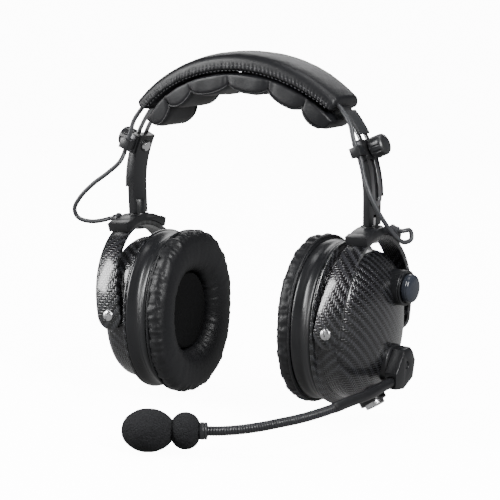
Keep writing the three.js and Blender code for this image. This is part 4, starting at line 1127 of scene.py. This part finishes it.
def pivot_screw(side, end, name):
    """A domed screw with a driver slot, over the yoke's pivot."""
    out = Vector((0.0, end, 0.0))
    inside = 34.5
    start = Vector((PIVOT_X, end * inside, PIVOT_Z))
    reach = YOKE_HALF_SPAN + YOKE_THICKNESS + 0.4 - inside
    profile = [(0.0, 0.0), (0.0, 2.0), (reach, 2.0), (reach, 3.75), (reach + 0.7, 3.75)]
    for turn in (0.25, 0.5, 0.75, 1.0, 1.25):
        profile.append((reach + 0.7 + 1.5 * math.sin(turn), 3.75 * math.cos(turn) ** 0.8))
    profile += [(reach + 2.25, 0.0)]
    bm = turned(profile, start, out, 40)
    for y in (-0.5, 0.5):
        bmesh.ops.bisect_plane(
            bm,
            geom=[*bm.verts, *bm.edges, *bm.faces],
            plane_co=Vector((PIVOT_X, 0.0, PIVOT_Z)) + Vector((y, 0.0, y * 0.4)),
            plane_no=(1.0, 0.0, 0.4),
            dist=1e-4,
        )
    normal = Vector((1.0, 0.0, 0.4)).normalized()
    centre = Vector((PIVOT_X, 0.0, PIVOT_Z))
    groove = []
    for face in bm.faces:
        middle = face.calc_center_median()
        if abs((middle - centre).dot(normal)) < 0.52 and abs(middle.y) > inside + reach + 0.75:
            groove.append(face)
    made = bmesh.ops.extrude_face_region(bm, geom=groove)
    verts = [item for item in made["geom"] if isinstance(item, bmesh.types.BMVert)]
    bmesh.ops.translate(bm, vec=-out * 0.9, verts=verts)
    bmesh.ops.delete(bm, geom=groove, context="FACES_ONLY")
    stands_for = f"{side}_{name.replace('slotted', 'pivot')}"
    piece(f"{side}_{name}", bm, CUP[side], f"{side}_cup", SCREW_METAL, (stands_for,), 30.0)


for number, side in enumerate(SIDES):
    carbon_shell(side)
    cup_rim(side)
    ear_seal(side, 7.3 * number)
    ear_lining(side)
    pivot_screw(side, -1, "slotted_screw_front")
    pivot_screw(side, 1, "slotted_screw_rear")


# ---------------- volume control
def volume_control():
    base = [(-15.0, 0.0), (-15.0, 11.4), (-1.6, 11.4), (-1.3, 10.9), (-0.9, 11.4), (0.0, 11.4)]
    base += [(0.0, 9.4), (-0.9, 9.4), (-0.9, 0.0)]
    bm = turned(rounded(base, 0.45), VOLUME, (1, 0, 0), 64)
    piece("volume_housing", bm, CUP["left"], "left_cup", SATIN_PLASTIC, ("volume_base",))
    cap = [(-0.7, 0.0), (-0.7, 8.6), (0.4, 9.2), (2.6, 9.2), (2.9, 8.9), (3.2, 9.1)]
    cap += [(4.2, 8.6), (5.2, 6.9), (5.7, 4.4), (5.9, 2.0), (5.95, 0.0)]
    bm = turned(rounded(cap, 0.6, 4), VOLUME + Vector((GAP, 0, 0)), (1, 0, 0), 64)
    piece("volume_cap", bm, CUP["left"], "volume_knob", CAP_GLOSS, ("volume_knob",))


volume_control()
eased("socket_flange", 0.6, SATIN_PLASTIC, 3)
eased("socket_ring", 0.4, SCREW_METAL)
eased("boom_disc", 0.8, SATIN_PLASTIC, 3)
eased("boom_bracket", 0.5, SATIN_PLASTIC, 2)


def hinge_screw():
    profile = [(0.0, 0.0), (0.0, 2.2), (12.0, 2.2), (12.3, 1.9), (12.4, 0.9), (12.3, 0.0)]
    bm = turned(rounded(profile, 0.2), Vector((HINGE_SCREW_X, BOOM_Y, BOOM_Z)), (1, 0, 0), 32)
    piece("hinge_screw", bm, CUP["left"], "left_cup", SATIN_PLASTIC, ("boom_screw",))


hinge_screw()

# ---------------- boom
BOOM_LINE = [
    (SLEEVE_X, BOOM_Y - 9, BOOM_Z - 9.5),
    (SLEEVE_X, BOOM_Y - 26, BOOM_Z - 11),
    (SLEEVE_X - 0.3, -34, BOOM_Z - 13),
    (105, -50, BOOM_Z - 15),
    (100.5, -68, BOOM_Z - 18),
    (93, -86, BOOM_Z - 21),
    (85, -99.5, BOOM_Z - 23),
    (76.5, -110.5, BOOM_Z - 25),
    (67.5, -119.5, BOOM_Z - 26.5),
    (58.5, -126, BOOM_Z - 27.5),
    (53, -129, BOOM_Z - 27.8),
]
boom_line = spline(BOOM_LINE, 600)
BOOM_LENGTH = length_of(boom_line)


def stretch(start, end, count):
    """A part of the boom's line between two lengths along it."""
    return [along(boom_line, between(start, end, i / (count - 1)) / BOOM_LENGTH) for i in range(count)]


def boom_sleeve():
    line = stretch(0.0, SLEEVE_END, 90)

    def radius(share):
        return 3.35 - 0.35 * smoothstep(0.96, 1.0, share)

    piece("boom_tube", pipe(line, radius, 32), CUP["left"], "boom", SATIN_PLASTIC, ("boom_sleeve",))


def gooseneck(name, start, end, stands_for, bend):
    """A ribbed hose along the boom's curve, between two lengths along the boom."""
    ribs = int((end - start) / 1.55)
    line = stretch(start, end, ribs * 8 + 1)

    def radius(share):
        return 2.72 + 0.3 * abs(math.sin(math.pi * ribs * share)) ** 0.6

    hose = piece(name, pipe(line, radius, 24), CUP["left"], None, HOSE, stands_for, 60.0)
    ends = [CUP["left"] @ along(boom_line, length / BOOM_LENGTH) for length in bend[2:]]
    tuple(ends[0])
    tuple(ends[1])
    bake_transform(hose)


boom_sleeve()
MIDDLE = sum(NECK_JOINTS) / 2
NEAR_BEND = ("boom", "gooseneck", 92.0, 109.0)
FAR_BEND = ("gooseneck", "mic", 120.0, 137.0)
gooseneck("gooseneck_near", SLEEVE_END, MIDDLE, ("gooseneck_1",), NEAR_BEND)
gooseneck("gooseneck_far", MIDDLE, BOOM_LENGTH + 0.5, ("gooseneck_2", "gooseneck_3"), FAR_BEND)

MIC_START = boom_line[-1]
MIC_AIM = (boom_line[-1] - boom_line[-3]).normalized()


def mic_collar():
    profile = [(0.0, 0.0), (0.0, 3.9), (0.5, 5.2), (1.6, 5.3), (1.9, 4.9)]
    profile += [(2.3, 5.3), (4.2, 5.3), (5.0, 4.8), (5.4, 0.0)]
    bm = turned(rounded(profile, 0.3), MIC_START, MIC_AIM, 48)
    piece("microphone_collar", bm, CUP["left"], "mic", KNOB_PLASTIC, ("mic_collar",))


def mic_muff():
    """Two foam lobes, the front one larger."""

    def radius(length):
        lobes = ((13.4, 9.0, 11.1, 2.3), (35.6, 16.2, 13.1, 2.0))
        swells = [max(0.0, 1 - abs((length - at) / half) ** n) ** (1 / n) * r for at, half, r, n in lobes]
        return sum(swell**12 for swell in swells) ** (1 / 12)

    steps = [MUFF_START + MUFF_LENGTH * (1 - math.cos(math.pi * i / 150)) / 2 for i in range(151)]
    profile = [(MUFF_START, 0.0), *[(length, max(0.02, radius(length))) for length in steps]]
    bm = turned(profile, MIC_START, MIC_AIM, 180)
    bmesh.ops.recalc_face_normals(bm, faces=bm.faces)
    bm.normal_update()
    for vert in bm.verts:
        rough = noise.noise(vert.co * 1.1) * 0.16 + noise.noise(vert.co * 2.3) * 0.12
        vert.co += vert.normal * (rough + 0.25 * noise.noise(vert.co * 0.18))
    muff = piece("foam_muff", bm, CUP["left"], "mic", FOAM, ("mic_muff",), 180.0)


mic_collar()
mic_muff()

# ---------------- pieces kept from the CAD model
KEPT = {
    "crossover_lead": CORD,
    "mic_capsule": SATIN_PLASTIC,
    "volume_pot": SATIN_PLASTIC,
}
for side in SIDES:
    KEPT[f"{side}_swivel_pin"] = SCREW_METAL
    KEPT[f"{side}_baffle"] = INNER_FIBRE
    KEPT[f"{side}_speaker"] = INNER_FIBRE
for name, finish in KEPT.items():
    nodes[name].data.materials.clear()
    nodes[name].data.materials.append(finish.material)


# ---------------- studio
AIM = (0.0, 0.0, -0.09)
FLOOR_HALF_SIZE = 40.0
FLOOR_CLEARANCE = 0.0005
# name, place, size and power, in metres and watts
AREA_LIGHTS = (
    ("top", (0.15, 0.1, 0.9), (0.5, 0.35), 3.0),
    ("rear", (-0.6, 1.1, 0.6), (1.0, 0.5), 5.0),
    ("front_left", (-0.75, -0.7, 0.3), (0.3, 0.6), 16.0),
    ("front_right", (0.95, -0.5, 0.55), (0.3, 0.6), 24.0),
    ("low_left", (-0.9, -0.4, -0.1), (0.1, 0.3), 1.5),
)


def pale_floor():
    """A glowing floor under the headset that stays out of its reflections."""
    bm = bmesh.new()
    bmesh.ops.create_grid(bm, x_segments=2, y_segments=2, size=FLOOR_HALF_SIZE)
    bmesh.ops.translate(bm, vec=(0, 0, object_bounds()[0][2] - FLOOR_CLEARANCE), verts=bm.verts)
    mesh = bpy.data.meshes.new("floor")
    bm.to_mesh(mesh)
    bm.free()
    floor = bpy.data.objects.new("floor", mesh)
    scene.collection.objects.link(floor)
    floor.visible_glossy = False
    floor.visible_diffuse = False
    pale = Finish("pale_floor", "plastic", (0.95, 0.95, 0.95), 1.0, Specular_IOR_Level=0.0)
    pale.set("Emission Color", (1.0, 1.0, 1.0, 1.0))
    pale.set("Emission Strength", 12.0)
    mesh.materials.append(pale.material)
    floor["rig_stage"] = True


def surroundings():
    """Grey all round, fading to nearly black overhead."""
    world = bpy.data.worlds.new("studio")
    world.use_nodes = True
    tree = world.node_tree
    where = tree.nodes.new("ShaderNodeTexCoord")
    split = tree.nodes.new("ShaderNodeSeparateXYZ")
    ramp = tree.nodes.new("ShaderNodeValToRGB")
    for element, (height, shade) in zip(ramp.color_ramp.elements, ((0.0, 0.42), (0.14, 0.05))):
        element.position = height
        element.color = (shade, shade, shade, 1.0)
    tree.links.new(where.outputs["Generated"], split.inputs["Vector"])
    tree.links.new(split.outputs["Z"], ramp.inputs["Fac"])
    tree.links.new(ramp.outputs["Color"], tree.nodes["Background"].inputs["Color"])
    scene.world = world


def ceiling_light():
    """Broad soft light from above that leaves no highlight."""
    sun = bpy.data.lights.new("ceiling", "SUN")
    sun.energy = 1.6
    sun.angle = math.radians(110)
    ceiling = bpy.data.objects.new("ceiling", sun)
    ceiling.visible_glossy = False
    scene.collection.objects.link(ceiling)


def area_light(name, place, size, power):
    data = bpy.data.lights.new(name, "AREA")
    data.shape = "RECTANGLE"
    data.size, data.size_y = size
    data.energy = power
    light = bpy.data.objects.new(name, data)
    scene.collection.objects.link(light)
    away = Vector(place) - Vector(AIM)
    light.matrix_world = Matrix.Translation(place) @ away.to_track_quat("Z", "Y").to_matrix().to_4x4()


pale_floor()
surroundings()
ceiling_light()
for light in AREA_LIGHTS:
    area_light(*light)
